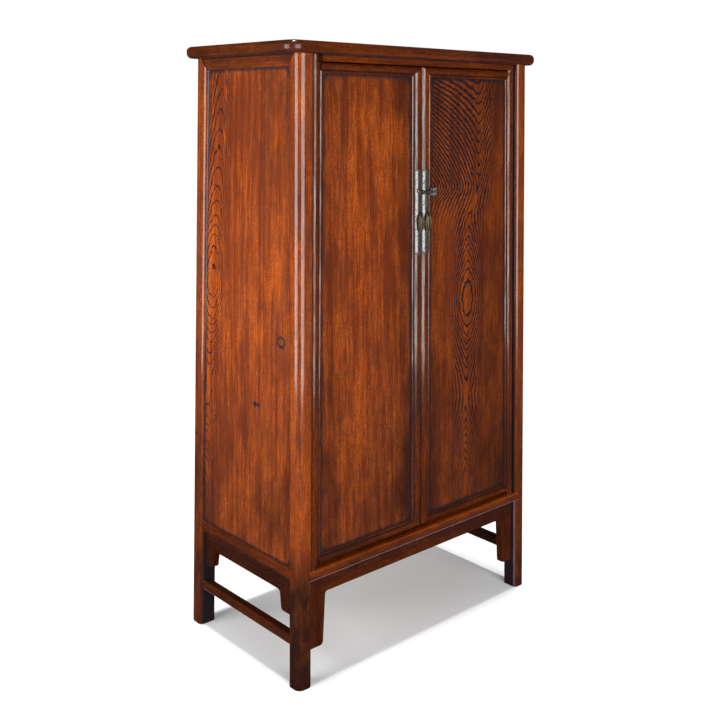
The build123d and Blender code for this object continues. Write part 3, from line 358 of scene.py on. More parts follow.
def flame_figure(tree, wood, a, b, g):
    """The right door: points that nest downwards over a spindle of points and ovals.

    A line's order is 0.55 to 0.73 times its distance from the middle line.  Below POINTS_FROM it gains a
    cosine of the height, less and less away from the middle; above, it loses in proportion to the height,
    and the more the farther left."""
    rise = g - POINTS_FROM
    above, below = rise.math("MAXIMUM", 0.0), rise.math("MINIMUM", 0.0)
    ripple = (tree.noise(tree.vector(a * 70.0, 5.0, g * 45.0), 1.0, 2.0) - 0.5) * 0.010
    waver = (tree.noise(tree.vector(a * 11.0, 7.0, g * 7.0), 1.0, 2.0) - 0.5) * 0.030
    aside = a - 0.208 - g.step(1.28, 1.42) * 0.047 + waver * 0.5
    left = (-aside).math("MAXIMUM", 0.0)
    tip = g.step(1.16, 1.09) * g.step(0.95, 1.01) * 0.022 + 0.007
    across = (aside * aside + tip * tip).math("SQRT") - tip
    swing = ((below * 10.3).math("COSINE") - 1.0) * 0.034 * across.step(0.15, 0.0)
    climb = above * above / (above + 0.07)
    distance = across * (above.step(0.0, 0.05) * 0.18 + 0.55) + swing - climb * (left * 1.9 + 0.30)
    distance = distance + ripple * 0.5 + waver * 0.35
    upper = g.step(1.24, 1.40) * aside.step(0.045, 0.005)
    near = across.step(0.080, 0.030) * (g.step(0.45, 0.95) * 0.45 + 0.55)
    return distance, near.math("MAXIMUM", upper) * 0.95 + 0.15, across.step(0.0, 0.03) * 0.20 + 0.24


def elm_parts(tree, wood, place):
    """The growth lines, streaks, fibres, pores and clouds of a piece: five signals from 0 to 1.

    The growth lines are the whole steps of the figure's distance; the rest is noise drawn out along the
    grain.  a and b run across the grain and g along it."""
    x, y, z = place
    order = {"X": (z, y, x), "Y": (z, x, y), "Z": (x, y, z), "side": (y, x, z)}
    a, b, g = order[wood.along]
    a = a - g * wood.lean[0]
    b = b - g * wood.lean[1]
    distance, strength, share = wood.figure(tree, wood, a, b, g)
    a = a + wood.seed * 0.37
    crinkle = tree.noise(tree.vector(a * 120.0, b * 120.0, g * 30.0), 1.0, 2.0)
    saw = (distance / wood.ring + crinkle * 0.55).math("FRACT")
    lines = (saw + share).step(0.88, 1.02) * saw.step(1.0, 0.93) * strength
    streaks = tree.noise(tree.vector(a * 60.0, b * 60.0, g * 2.2), 1.0, 5.0, 0.75).step(0.40, 0.64)
    fibre = tree.noise(tree.vector(a * 230.0, b * 230.0, g * 16.0), 1.0, 2.0, 0.7)
    pores = tree.noise(tree.vector(a * 330.0, b * 330.0, g * 42.0), 1.0, 1.0).step(0.60, 0.68)
    cloud = tree.noise(tree.vector(a * 9.0, b * 9.0, g * 3.6), 1.0, 5.0, 0.68).step(0.38, 0.62)
    return lines, streaks, fibre, pores, cloud


def lacquered_elm(name, finish, wood):
    """A glossy lacquered elm: darker growth lines and pores, clouds of tone, marks of dirt and wear, painted
    shade and painted highlights.
    """
    tree = new_tree(name)
    place = tree.place()
    x, y, z = place
    lines, streaks, fibre, pores, cloud = elm_parts(tree, wood, place)
    light, middle = shaded(finish.light_wood, wood.tone), shaded(finish.mid_wood, wood.tone)
    dark = shaded(finish.dark_wood_and_shade, 0.4 + 0.6 * wood.tone)
    body = tree.mix((streaks * wood.streak * 0.8 + cloud * 0.6).clamp(), light, middle)
    body = tree.mix(fibre.step(0.42, 0.70) * 0.75, body, middle)
    grit = tree.noise(tree.vector(x * 240.0, y * 240.0, z * 170.0), 1.0, 2.0, 0.7)
    body = tree.mix(grit.step(0.44, 0.70) * 0.7, body, shaded(middle, 0.7))
    body = tree.mix((lines * wood.bands).clamp(), body, tuple(finish.grime_and_shade))
    body = tree.mix(pores * 0.4, body, dark)
    rough = cloud * 0.06 + pores * 0.18 + 0.27 - wood.sheen * 0.12
    # A darker tone over part of a piece: mostly painted shade, lower down or below a lit face, and in places
    # the darker tone of a board.
    if wood.fade is not None:
        stain_and_shade = (wood.fade(tree, place) * (cloud * 0.3 + 0.82)).clamp()
        body = tree.mix(stain_and_shade, body, shaded(finish.dark_wood_and_shade, 0.8))
    # The marks are real dirt, knots and dark joints, and painted shade in creases and along the edges of
    # panels.
    if wood.marks:
        dirt_and_shade = wood.marks[0](tree, place)
        for mark in wood.marks[1:]:
            dirt_and_shade = dirt_and_shade + mark(tree, place)
        dirt_and_shade = (dirt_and_shade * (fibre * 0.7 + 0.65)).clamp()
        body = tree.mix(dirt_and_shade, body, tuple(finish.grime_and_shade))
        rough = rough + dirt_and_shade * 0.15
    # A pale line of painted highlight along an edge.
    if wood.rim is not None:
        painted_highlight = wood.rim(tree, place) * (fibre * 1.6 - 0.2).clamp()
        body = tree.mix(painted_highlight, body, tuple(finish.edge_highlight))
    if wood.worn is not None:
        bare = wood.worn(tree, place)
        body = tree.mix(bare, body, BARE_WOOD)
        rough = rough + bare * 0.3
    lumps = tree.noise(tree.vector(x * 26.0, y * 26.0, z * 11.0), 1.0, 2.0)
    gleam = tree.noise(tree.vector(x * 230.0, y * 230.0, z * 6.0), 1.0, 3.0, 0.7).step(0.42, 0.60)
    coat = (gleam * wood.split + (1.0 - wood.split)) * (finish.gloss * wood.sheen)
    height = fibre * 0.3 - lines * 0.25 - pores * 0.5 + lumps * 9.0
    return tree.surface({
        "Base Color": body, "Roughness": rough, "Specular IOR Level": 0.18, "Coat Weight": coat,
        "Coat Roughness": 0.10, "Normal": tree.bump(height, 0.22, 0.0005),
    })


def border(low, high, left_edge, right_edge, axis, width, corner):
    """Painted shade and dirt along a leaning board's edges, round its corners: strong at an edge, 0 a width
    inside it.

    Each upright edge is its place at the floor and its lean.  The depth inside the board is the corner's
    radius less the length of what is missing to that radius, across and up."""
    def dirt_and_shade(tree, place):
        z, across = place[2], place[axis]
        sideways = (across - left_edge[0] - z * left_edge[1]).math(
            "MINIMUM", right_edge[0] + z * right_edge[1] - across)
        upright = (z - low).math("MINIMUM", high - z)
        short_x = (corner - sideways).math("MAXIMUM", 0.0)
        short_z = (corner - upright).math("MAXIMUM", 0.0)
        depth = corner - (short_x * short_x + short_z * short_z).math("SQRT")
        uneven = tree.noise(tree.vector(place[0] * 60.0, place[1] * 60.0, z * 14.0), 1.0, 2.0)
        return (depth + (uneven - 0.5) * width * 0.9).step(width, width * 0.1) * 0.88
    return dirt_and_shade


def groove(axis, offset, lean, width, strength=0.9):
    """A line at a place across a piece, which may lean with the height; it draws painted shade in creases,
    dark joints and painted highlights along edges.
    """
    def dirt_and_shade(tree, place):
        return abs(place[axis] - offset - place[2] * lean).step(width, width * 0.25) * strength
    return dirt_and_shade


def spot(axis, at, size, strength=0.9):
    """A small oval mark: at is its place across and its height, size its two half sizes."""
    def dirt_and_shade(tree, place):
        across, up = (place[axis] - at[0]) / size[0], (place[2] - at[1]) / size[1]
        return (across * across + up * up).math("SQRT").step(1.0, 0.45) * strength
    return dirt_and_shade


def knot(axis, at, size):
    """A knot: an oval ring of dark bark round a clear middle, with its place and half sizes as a spot's."""
    def dirt_and_shade(tree, place):
        across, up = (place[axis] - at[0]) / size[0], (place[2] - at[1]) / size[1]
        x, y, z = place
        ragged = tree.noise(tree.vector(x * 90.0, y * 90.0, z * 90.0), 1.0, 2.0) * 0.5
        away = (across * across + up * up).math("SQRT") + ragged - 0.25
        return away.step(0.50, 0.80) * away.step(1.30, 0.95) * 0.8
    return dirt_and_shade


def low_shade(top, bottom, strength):
    """Painted shade lower down, where less light falls: nothing above top, all of it under bottom."""
    def shade(tree, place):
        return place[2].step(top, bottom) * strength
    return shade


def edge_shade(left, right, top):
    """Darker towards a door's left, right and top edges, and painted shade towards its foot, where less light
    falls.

    Each edge is the place where the stain starts and the one where it is full."""
    def shade(tree, place):
        x, y, z = place
        sides = x.step(*left) * 0.3 + x.step(*right) * 0.4
        return (sides + z.step(*top) * 0.2 + z.step(1.1, 0.45) * 0.4).clamp()
    return shade


def leg_edge_highlight(offset, lean):
    """A painted highlight along the inner front corner of a front leg, below the case: its place at the floor
    and its lean.
    """
    def painted_highlight(tree, place):
        x, y, z = place
        front = (y + FOOT_Y - z * LEAN_Y).step(0.012, 0.004)
        return abs(x - offset - z * lean).step(0.004, 0.001) * z.step(0.33, 0.31) * front
    return painted_highlight


def chips(low, high, share):
    """Small worn places between two heights, where the lacquer is off."""
    def bare(tree, place):
        x, y, z = place
        patches = tree.noise(tree.vector(x * 70.0, y * 70.0, z * 50.0), 1.0, 3.0, 0.7)
        return patches.step(0.74 - share, 0.80 - share) * z.step(high, low) * 0.85
    return bare


def worn_metal(name, colour, patina, amount, polish, darker=None):
    """A rubbed metal: tarnish in patches, scratches along its height, and darker places where given.

    amount is how much is tarnished, and polish the roughness of clean metal."""
    tree = new_tree(name)
    x, y, z = tree.place()
    vector = tree.vector(x, y, z)
    patches = tree.noise(vector, 130.0, 4.0, 0.7).step(0.62 - amount * 0.3, 0.78 - amount * 0.3)
    scratch = tree.noise(tree.vector(x * 3000.0, y * 3000.0, z * 120.0), 1.0, 2.0)
    spots = tree.noise(vector, 700.0, 2.0).step(0.60, 0.70)
    if darker is not None:
        patches = (patches * 0.75 + darker(tree, (x, y, z))).clamp()
    body = tree.mix(scratch * 0.35, tuple(colour), shaded(colour, 0.6))
    body = tree.mix((patches * 0.9 + spots * 0.25).clamp(), body, tuple(patina))
    return tree.surface({
        "Base Color": body, "Metallic": 0.8 - patches * 0.5,
        "Roughness": patches * 0.3 + scratch * 0.10 + polish,
        "Normal": tree.bump(scratch * 0.4 - spots, 0.2, 0.0003),
    })


def tarnish(start, full):
    """Tarnish at both ends of a face plate and across it, from where it starts to where it is full."""
    def darker(tree, place):
        x, y, z = place
        ends = z.step(PLATE_LOW + 0.006, PLATE_LOW + 0.002) + z.step(PLATE_TOP - 0.006, PLATE_TOP - 0.002)
        return ends * 0.9 + x.step(start, full) * 0.95
    return darker


def bare_rod(tree, place):
    """The dark patina of the lock, at the height of its rod alone."""
    return abs(place[2] - ROD_HEIGHT).step(0.004, 0.003)


def wear(material, *names):
    """Gives CAD nodes their material."""
    for name in names:
        NODES[name].data.materials.clear()
        NODES[name].data.materials.append(material)


def dress(name, finish, wood):
    """Gives a wooden CAD node an elm of its own."""
    wear(lacquered_elm(f"elm_{name}", finish, wood), name)


class PieceGroup:
    """Base of the operators: each one finishes a group of like pieces."""

    bl_options = {"REGISTER", "UNDO"}

    @staticmethod
    def finish(context):
        return context.scene.cabinet_finish


def edge_x(inset=0.0):
    """The left post's inner edge in the front, moved inwards: its place at the floor and its lean."""
    return POST - FOOT_X + inset, LEAN_X


def edge_y(back, inset=0.0):
    """A post's inner edge in the side, moved inwards: its place at the floor and its lean."""
    if back:
        return FOOT_Y - BACK_POST_DEPTH - inset, -LEAN_Y
    return POST - FOOT_Y + inset, LEAN_Y


def flipped(edge):
    """An upright edge's mirror image on the right."""
    return -edge[0], -edge[1]


class CABINET_OT_posts(PieceGroup, bpy.types.Operator):
    """Finish the four round-cornered posts"""

    bl_idname = "cabinet.posts"
    bl_label = "Posts"

    def execute(self, context):
        finish = self.finish(context)
        for index, (end, side, tone, leg_shade) in enumerate((
                ("front", "left", 0.85, (0.46, 0.26, 1.0)), ("front", "right", 0.68, (0.9, 0.35, 0.7)),
                ("back", "left", 0.85, (1.0, 0.3, 0.75)), ("back", "right", 0.7, (0.9, 0.3, 0.7)))):
            inner_x = edge_x() if side == "left" else flipped(edge_x())
            inner_y = edge_y(end == "back")
            # Lines of painted shade and dirt in the creases along the inner edges, painted shade lower down,
            # and a painted highlight on the inner corner of a front leg.
            dress(f"post_{end}_{side}", finish, Elm(
                "Z", (inner_x[1], inner_y[1]), tone, bands=0.45, ring=0.0075, seed=index * 1.7 + 0.3,
                streak=0.45, marks=[groove(0, *inner_x, 0.0035), groove(1, *inner_y, 0.0035)],
                fade=low_shade(*leg_shade), worn=chips(0.0, 0.06, 0.05),
                rim=leg_edge_highlight(*inner_x) if end == "front" else None, sheen=0.75))
        return {"FINISHED"}


class CABINET_OT_cap(PieceGroup, bpy.types.Operator):
    """Finish the cap frame, its panel and its batten"""

    bl_idname = "cabinet.cap"
    bl_label = "Cap"

    def execute(self, context):
        finish = self.finish(context)
        for index, (name, along) in enumerate((("cap_front", "X"), ("cap_back", "X"), ("cap_left", "Y"),
                                               ("cap_right", "Y"), ("cap_panel", "X"), ("cap_batten", "Y"))):
            # A line of painted shade in the crease under the cap's round edge.
            dress(name, finish, Elm(
                along, tone=0.33, bands=0.65, ring=0.005, seed=index * 2.3 + 0.9, streak=0.6,
                marks=[groove(2, CAP_GROOVE, 0.0, 0.0022, 0.8)], sheen=0.45))
        return {"FINISHED"}


class CABINET_OT_rails(PieceGroup, bpy.types.Operator):
    """Finish the rails, aprons, spandrels and stretchers"""

    bl_idname = "cabinet.rails"
    bl_label = "Rails and aprons"

    def execute(self, context):
        finish = self.finish(context)
        seed = 0.0
        for name, along, tone in (
                ("head_rail_front", "X", 0.46), ("head_rail_back", "X", 0.6), ("head_rail_left", "Y", 0.62),
                ("head_rail_right", "Y", 0.7), ("sill", "X", 0.8), ("base_rail_back", "X", 0.4),
                ("base_rail_left", "Y", 0.34), ("base_rail_right", "Y", 0.34), ("front_apron", "X", 0.2),
                ("front_spandrel_left", "Z", 0.2), ("front_spandrel_right", "Z", 0.2),
                ("side_apron_left", "Y", 0.15), ("side_apron_right", "Y", 0.15),
                ("side_spandrel_front_left", "Z", 0.15), ("side_spandrel_back_left", "Z", 0.12),
                ("side_spandrel_front_right", "Z", 0.15), ("side_spandrel_back_right", "Z", 0.15),
                ("back_apron", "X", 0.25), ("stretcher_left", "Y", 0.2), ("stretcher_right", "Y", 0.12)):
            seed += 1.13
            wood = Elm(along, tone=tone, bands=0.6, ring=0.005, seed=seed, streak=0.6)
            # Lines of painted shade in the creases along a head rail's top and lower edges.
            if name.startswith("head"):
                wood.marks = [groove(2, edge, 0.0, 0.003) for edge in HEAD_RAIL_EDGES]
            if "spandrel" in name or "stretcher" in name:
                wood.worn = chips(0.0, 0.16, 0.04)
            # The sill's light tone, with painted shade on its front, makes its top look lit.
            if name == "sill":
                wood.worn, wood.fade = sill_end, shade_below_ledge
            # A pale line of painted highlight along these lower edges.
            if name in HIGHLIGHT_EDGES:
                wood.rim = groove(2, HIGHLIGHT_EDGES[name], 0.0, 0.0028)
            dress(name, finish, wood)
        return {"FINISHED"}


def shade_below_ledge(tree, place):
    """Painted shade on the sill's front, under its top, so that the ledge on which the doors turn looks lit.
    """
    return place[2].step(SILL_TOP - 0.001, SILL_TOP - 0.004) * 0.7


def sill_end(tree, place):
    """The bare, chipped end grain at the sill's left end."""
    x, y, z = place
    ragged = tree.noise(tree.vector(x * 200.0, y * 200.0, z * 200.0), 1.0, 3.0, 0.7)
    return (x - SILL_END + (ragged - 0.5) * 0.012).step(0.002, -0.002) * ragged.step(0.40, 0.52)


def side_shade(tree, place):
    """Painted shade in a side panel towards its foot and towards its top, and a darker tone over its front
    board.
    """
    x, y, z = place
    front_board = (y - SIDE_JOINTS[-1]).step(0.004, -0.004)
    return z.step(1.0, 0.36) * 0.5 + z.step(1.25, 1.74) * 0.2 + front_board * 0.14


class CABINET_OT_sides(PieceGroup, bpy.types.Operator):
    """Finish the two side panels"""

    bl_idname = "cabinet.sides"
    bl_label = "Side panels"

    def execute(self, context):
        finish = self.finish(context)
        # Painted shade and dirt along the edges of the panel, where it meets the posts and rails.
        dirt_and_shade = border(SIDE_LOW, SIDE_TOP, edge_y(False), edge_y(True), 1, 0.009, 0.030)
        joints = [groove(1, joint, 0.0, 0.0014, 0.5) for joint in SIDE_JOINTS]
        stain_and_shade, scar = (-0.050, 0.797), (-0.066, 0.798)
        knots = [knot(1, (-0.168, 1.000), (0.019, 0.014)), spot(1, (-0.172, 0.984), (0.018, 0.007), 0.5),
                 spot(1, stain_and_shade, (0.010, 0.013), 0.8), spot(1, scar, (0.007, 0.010), 0.8),
                 spot(1, stain_and_shade, (0.028, 0.005), 0.5), spot(1, stain_and_shade, (0.004, 0.060), 0.4)]
        for side, lean, seed in (("left", LEAN_X, 5.2), ("right", -LEAN_X, 6.2)):
            dress(f"side_panel_{side}", finish, Elm(
                "side", (0.0, lean), tone=1.22, bands=0.85, ring=0.0055, seed=seed, streak=0.8,
                figure=side_figure, marks=[dirt_and_shade, *joints, *knots], fade=side_shade, share=0.26, sheen=0.35))
        return {"FINISHED"}


class CABINET_OT_doors(PieceGroup, bpy.types.Operator):
    """Finish the frames and panels of the two doors"""

    bl_idname = "cabinet.doors"
    bl_label = "Doors"

    def execute(self, context):
        finish = self.finish(context)
        nails = [spot(0, (-0.076, 1.183), (0.004, 0.007)), spot(0, (-0.203, 1.541), (0.003, 0.005))]
        low, top = DOOR_LOW + DOOR_RAIL, DOOR_TOP - DOOR_RAIL
        slope = DOOR_RAIL * (1.0 - BAR_SHARE)
        for side, sign in (("left", 1), ("right", -1)):
            outer, inner = edge_x(PIVOT_GAP + STILE), (-MEETING_GAP - STILE, 0.0)
            bar_outer, bar_inner = edge_x(PIVOT_GAP + BAR), (-MEETING_GAP - BAR, 0.0)
            # Painted shade and dirt along the edges of each panel, where it meets its frame.
            if side == "left":
                dirt_and_shade = border(low, top, outer, inner, 0, 0.014, 0.032)
                panel = Elm(tone=0.90, bands=0.45, ring=0.0052, seed=2.4, streak=0.9, marks=[dirt_and_shade, *nails],
                            fade=edge_shade((-0.30, -0.36), (-0.16, -0.07), (1.45, 1.70)), sheen=0.35)
            else:
                dirt_and_shade = border(low, top, flipped(inner), flipped(outer), 0, 0.014, 0.032)
                bar_outer, bar_inner = flipped(bar_outer), flipped(bar_inner)
                panel = Elm(tone=0.64, bands=0.95, ring=0.0085, seed=0.7, streak=0.6, figure=flame_figure,
                            marks=[dirt_and_shade], fade=edge_shade((0.10, 0.06), (0.16, 0.36), (1.50, 1.72)),
                            sheen=0.35)
            dress(f"{side}_door_panel", finish, panel)
            for part, along, lean, tone, lines in (
                    ("pivot_stile", "Z", LEAN_X * sign, 0.36, [(0, *bar_outer)]),
                    ("meeting_stile", "Z", 0.0, 0.36, [(0, *bar_inner)]),
                    ("top_rail", "X", 0.0, 0.34, [(2, top + slope, 0.0)]),
                    ("bottom_rail", "X", 0.0, 0.34, [(2, low - slope, 0.0)]),
                    ("door_battens", "X", 0.0, 0.5, [])):
                # Each frame piece gets lines of painted shade in the crease beside its bar, and painted shade
                # lower down.
                dress(f"{side}_{part}", finish, Elm(
                    along, (lean, 0.0), tone, bands=0.45, ring=0.006, seed=len(part) * 1.3 + sign,
                    streak=0.5, marks=[groove(*line, 0.0022) for line in lines],
                    fade=low_shade(1.2, 0.36, 0.3), split=0.85))
        return {"FINISHED"}


class CABINET_OT_inside(PieceGroup, bpy.types.Operator):
    """Finish the back, the bottom board, the shelves and their bearers"""

    bl_idname = "cabinet.inside"
    bl_label = "Back and shelves"

    def execute(self, context):
        finish = self.finish(context)
        for index, (name, along) in enumerate((
                ("back_panel_left", "Z"), ("back_panel_right", "Z"), ("back_muntin", "Z"),
                ("bottom_board", "X"), ("lower_shelf", "X"), ("upper_shelf", "X"),
                ("bearers_left", "Y"), ("bearers_right", "Y"))):
            dress(name, finish, Elm(along, tone=0.8, ring=0.008, seed=index * 1.9 + 4.0, sheen=0.3))
        return {"FINISHED"}


def grid_mesh(name, points, material):
    """A closed surface from a grid of points that joins up both ways, linked into the scene."""
    rows, columns = points.shape[:2]
    index = np.arange(rows * columns).reshape(rows, columns)
    across, along = np.roll(index, -1, axis=1), np.roll(index, -1, axis=0)
    both = np.roll(across, -1, axis=0)
    faces = np.stack([index, across, both, along], axis=-1).reshape(-1, 4)
    mesh = bpy.data.meshes.new(name)
    mesh.from_pydata(points.reshape(-1, 3).tolist(), [], faces.tolist())
    mesh.polygons.foreach_set("use_smooth", np.ones(len(faces), dtype=bool))
    mesh.materials.append(material)
    piece = bpy.data.objects.new(name, mesh)
    bpy.context.scene.collection.objects.link(piece)
    return piece


def leaf(centre, hole, half_width, half_length):
    """An oval leaf with a rolled rim, a hole near its top and veins that fan out from it.

    Around the hole, at a height, each direction has a ray to the oval outline: its length is the root of the
    quadratic in which the ray meets the ellipse.  Along it the front is a low dome, minus grooves that repeat
    with the angle and bend with the distance, plus a rim and a rib; the back is flat.  Both round off to the
    outline by the root of 1 less a square."""
    hole_radius, veins = 0.0024, 15
    angle = np.linspace(0, 2 * np.pi, 160, endpoint=False)[:, None]
    cos, sin = np.cos(angle), np.sin(angle)
    offset = hole - centre[2]
    square = (cos / half_width) ** 2 + (sin / half_length) ** 2
    middle = offset * sin / half_length**2
    length = (-middle + np.sqrt(middle**2 - square * ((offset / half_length) ** 2 - 1))) / square
    reach = np.linspace(0, 1, 26)[None, :] ** 0.8
    radius = hole_radius + reach * (length - hole_radius)
    x, up = radius * cos, radius * sin + offset
    spread = np.sqrt((x / half_width) ** 2 + (up / half_length) ** 2)
    dome = 0.0009 * np.clip(1 - spread**2, 0, 1)
    vein = np.clip(np.cos(veins * (angle + 0.9 * reach * np.sin(angle + np.pi / 2))), 0, 1) ** 3
    inside = np.clip((spread - 0.08) / 0.1, 0, 1) * np.clip((0.80 - spread) / 0.08, 0, 1)
    rim = 0.0007 * np.exp(-(((spread - 0.90) / 0.055) ** 2))
    rib = 0.0005 * np.exp(-((x / 0.0008) ** 2)) * (up < offset)
    front = 0.0010 + dome + rim + rib - 0.0007 * vein * inside
    rounding = np.sqrt(np.clip(1 - np.clip((spread - 0.93) / 0.07, 0, 1) ** 2, 0, 1))
    front, back = front * rounding, -0.0009 * rounding
    faces = [np.stack([x, -depth, up], axis=-1) for depth in (front, back)]
    loop = np.concatenate([faces[0], faces[1][:, ::-1]], axis=1)
    return loop + np.array(centre)


def heart(centre, width, thickness):
    """A small heart-shaped plate with a domed face, bent back over the round stile.

    Rays run from its middle to the usual heart of sines and cosines.  The face is a root of 1 less the square
    of the reach, and the bend is the square of the distance across, over twice the stile's radius."""
    angle = np.linspace(0, 2 * np.pi, 96, endpoint=False)[:, None]
    outline_x = np.sin(angle) ** 3
    outline_up = (13 * np.cos(angle) - 5 * np.cos(2 * angle) - 2 * np.cos(3 * angle) - np.cos(4 * angle)) / 16
    out = np.linspace(0.02, 1, 12)
    reach = np.concatenate([out, np.linspace(1, 0.02, 8)])[None, :]
    x, up = outline_x * reach * width / 2, outline_up * reach * width / 2
    height = thickness * np.concatenate([np.sqrt(1.02 - out**2), np.zeros(8)])[None, :]
    bend = x**2 / (2 * STILE_ROUND)
    grid = np.stack([x + 0 * height, bend - height, up + 0 * height], axis=-1)
    return grid + np.array(centre)


class CABINET_OT_mounts(PieceGroup, bpy.types.Operator):
    """Finish the plates, staples and lock, and make the two leaf pulls and the heart of the lock"""

    bl_idname = "cabinet.mounts"
    bl_label = "Metal mounts"

    def execute(self, context):
        finish = self.finish(context)
        metal, patina = finish.white_metal, finish.patina
        left = worn_metal("white_metal_left", metal, patina, 0.45, 0.14, tarnish(-0.0120, -0.005))
        right = worn_metal("white_metal_right", metal, patina, 0.45, 0.14, tarnish(0.014, 0.022))
        staple = worn_metal("white_metal_staple", metal, patina, 0.6, 0.30)
        # The lock's metal is a lighter copy of the white metal: painted light in place of the brightness it
        # lacks.
        lock = worn_metal("lock_metal", shaded(metal, 3.2), shaded(patina, 0.2), 0.1, 0.22, bare_rod)
        bronze = worn_metal("bronze_pull", finish.bronze, patina, 0.35, 0.34)
        wear(left, "left_face_plate")
        wear(right, "right_face_plate")
        wear(staple, "left_staples", "right_staples")
        wear(lock, "lock_pin", "lock_cap")
        wear(bronze, "left_pull", "right_pull")
        x, y, z = EYE
        for side, sign in (("left", -1), ("right", 1)):
            centre = (sign * x, y, z - LEAF_DROP)
            points = leaf(centre, z - LEAF_HOLE_DROP, LEAF_HALF_WIDTH, LEAF_HALF_LENGTH)
            piece = grid_mesh(f"{side}_leaf_pull", points, bronze)
            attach(piece, f"{side}_pull")
            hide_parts(f"{side}_pull")
        emblem = grid_mesh("lock_heart", heart(HEART_PLACE, HEART_WIDTH, HEART_THICKNESS), bronze)
        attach(emblem, "left_door")
        return {"FINISHED"}


# ---------------------------------------------------------------- studio

def camera_turn(yaw, pitch, roll):
    """Rotation of a camera that looks along yaw (from +Y towards +X), down by pitch, turned by roll."""
    forward = np.array([np.sin(yaw) * np.cos(pitch), np.cos(yaw) * np.cos(pitch), -np.sin(pitch)])
    right = np.array([np.cos(yaw), -np.sin(yaw), 0.0])
    up = np.cross(right, forward)
    side = right * np.cos(roll) + up * np.sin(roll)
    top = up * np.cos(roll) - right * np.sin(roll)
    return np.column_stack([side, top, -forward])


def aimed(direction):
    """The turn of a lamp that shines along a direction."""
    return direction.to_track_quat("-Z", "Y").to_euler()


def soft_light(name, place, target, size, power):
    """A rectangular lamp at a place, turned to a target."""
    lamp = bpy.data.lights.new(name, "AREA")
    lamp.shape = "RECTANGLE"
    lamp.size, lamp.size_y = size
    lamp.energy = power
    made = bpy.data.objects.new(name, lamp)
    bpy.context.scene.collection.objects.link(made)
    made.location = place
    made.rotation_euler = aimed(Vector(target) - Vector(place))


def seen_white(tree, mirrored):
    """How white the surroundings look to a ray, and whether the ray is one that gloss or metal mirrors.

    The first is 1 for what the camera sees or what shows through, and the given share for a mirrored ray."""
    seen = tree.node("ShaderNodeLightPath", {}, [], "Is Camera Ray")
    through = tree.node("ShaderNodeLightPath", {}, [], "Is Transmission Ray")
    glossy = tree.node("ShaderNodeLightPath", {}, [], "Is Glossy Ray")
    return (seen + through).clamp() + glossy * mirrored, glossy


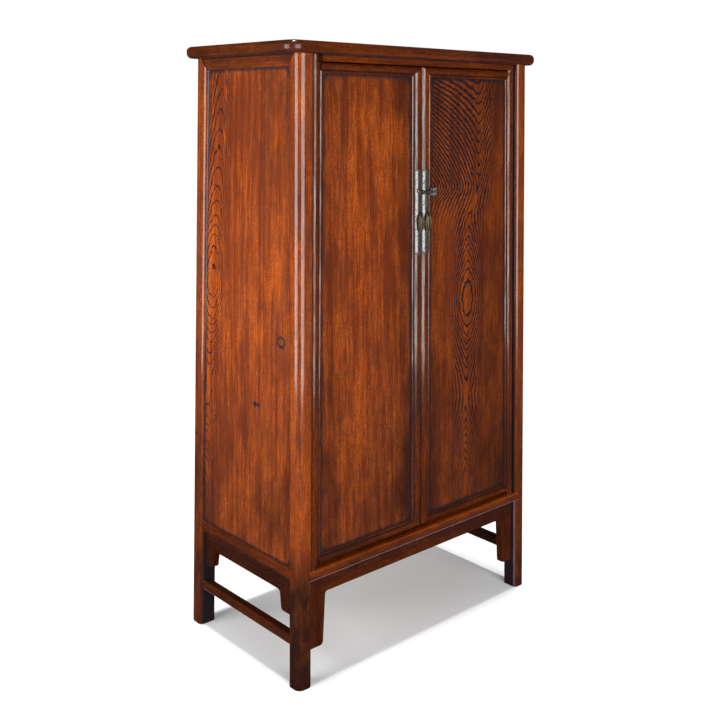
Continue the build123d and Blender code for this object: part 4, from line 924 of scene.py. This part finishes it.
class CABINET_OT_studio(bpy.types.Operator):
    """Build the floor, the backdrop, the lights and the camera"""

    bl_idname = "cabinet.studio"
    bl_label = "Studio"
    bl_options = {"REGISTER", "UNDO"}

    def execute(self, context):
        studio = context.scene.cabinet_studio
        ground = bpy.data.meshes.new("floor")
        corners = [(x * FLOOR_HALF, y * FLOOR_HALF, 0.0) for x, y in ((-1, -1), (1, -1), (1, 1), (-1, 1))]
        ground.from_pydata(corners, [], [(0, 1, 2, 3)])
        floor = bpy.data.objects.new("floor", ground)
        context.scene.collection.objects.link(floor)

        pure_white = (1.0, 1.0, 1.0, 1.0)
        tree = new_tree("studio_floor")
        white, glossy = seen_white(tree, studio.mirrored_white)
        paper = white * (glossy * 0.94 + 0.06)
        glow = tree.node("ShaderNodeEmission", {}, {"Color": pure_white, "Strength": paper})
        grey = tree.mix(glossy, (0.8, 0.8, 0.8), (0.0, 0.0, 0.0))
        diffuse = tree.node("ShaderNodeBsdfDiffuse", {}, {"Color": grey})
        ground.materials.append(tree.output(tree.node("ShaderNodeAddShader", {}, [diffuse, glow])))

        context.scene.world = context.scene.world or bpy.data.worlds.new("studio")
        sky = Tree(context.scene.world)
        white, glossy = seen_white(sky, studio.mirrored_white)
        strength = white.math("MAXIMUM", (1.0 - glossy) * studio.room_light)
        even = sky.node("ShaderNodeBackground", {}, {"Color": pure_white, "Strength": strength})
        sky.output(even, "ShaderNodeOutputWorld")

        soft_light("side_light", SIDE_LIGHT_PLACE, LIGHT_TARGET, LIGHT_SIZE, studio.side_power)
        soft_light("front_light", FRONT_LIGHT_PLACE, LIGHT_TARGET, LIGHT_SIZE, studio.front_power)
        lamp = bpy.data.lights.new("top_light", "SUN")
        lamp.energy = studio.top_light
        lamp.angle = TOP_LIGHT_ANGLE
        overhead = bpy.data.objects.new("top_light", lamp)
        context.scene.collection.objects.link(overhead)
        overhead.rotation_euler = aimed(Vector(TOP_LIGHT_DIRECTION))

        lens = bpy.data.cameras.new("camera")
        lens.sensor_width = SENSOR_WIDTH
        lens.lens = studio.lens
        lens.shift_x, lens.shift_y = CAMERA_SHIFT
        lens.clip_end = 200.0
        eye = bpy.data.objects.new("camera", lens)
        context.scene.collection.objects.link(eye)
        matrix = Matrix(camera_turn(*CAMERA_ANGLES).tolist()).to_4x4()
        matrix.translation = CAMERA_PLACE
        eye.matrix_world = matrix
        context.scene.camera = eye
        context.scene.view_settings.view_transform = "Standard"
        return {"FINISHED"}


OPERATORS = (CABINET_OT_posts, CABINET_OT_cap, CABINET_OT_rails, CABINET_OT_sides, CABINET_OT_doors,
             CABINET_OT_inside, CABINET_OT_mounts, CABINET_OT_studio)


class CABINET_PT_panel(bpy.types.Panel):
    """The cabinet's pieces and their settings"""

    bl_idname = "CABINET_PT_panel"
    bl_label = "Book cabinet"
    bl_space_type = "VIEW_3D"
    bl_region_type = "UI"
    bl_category = "Book cabinet"

    def draw(self, context):
        for settings in (context.scene.cabinet_finish, context.scene.cabinet_studio):
            for key in settings.__annotations__:
                self.layout.prop(settings, key)
        for operator in OPERATORS:
            self.layout.operator(operator.bl_idname)


CLASSES = (CabinetFinish, CabinetStudio, *OPERATORS, CABINET_PT_panel)


def register():
    for cls in CLASSES:
        bpy.utils.register_class(cls)
    bpy.types.Scene.cabinet_finish = bpy.props.PointerProperty(type=CabinetFinish)
    bpy.types.Scene.cabinet_studio = bpy.props.PointerProperty(type=CabinetStudio)


def unregister():
    del bpy.types.Scene.cabinet_studio
    del bpy.types.Scene.cabinet_finish
    for cls in reversed(CLASSES):
        bpy.utils.unregister_class(cls)


def main():
    register()
    for operator in OPERATORS:
        group, name = operator.bl_idname.split(".")
        getattr(getattr(bpy.ops, group), name)()


if __name__ == "__main__":
    main()
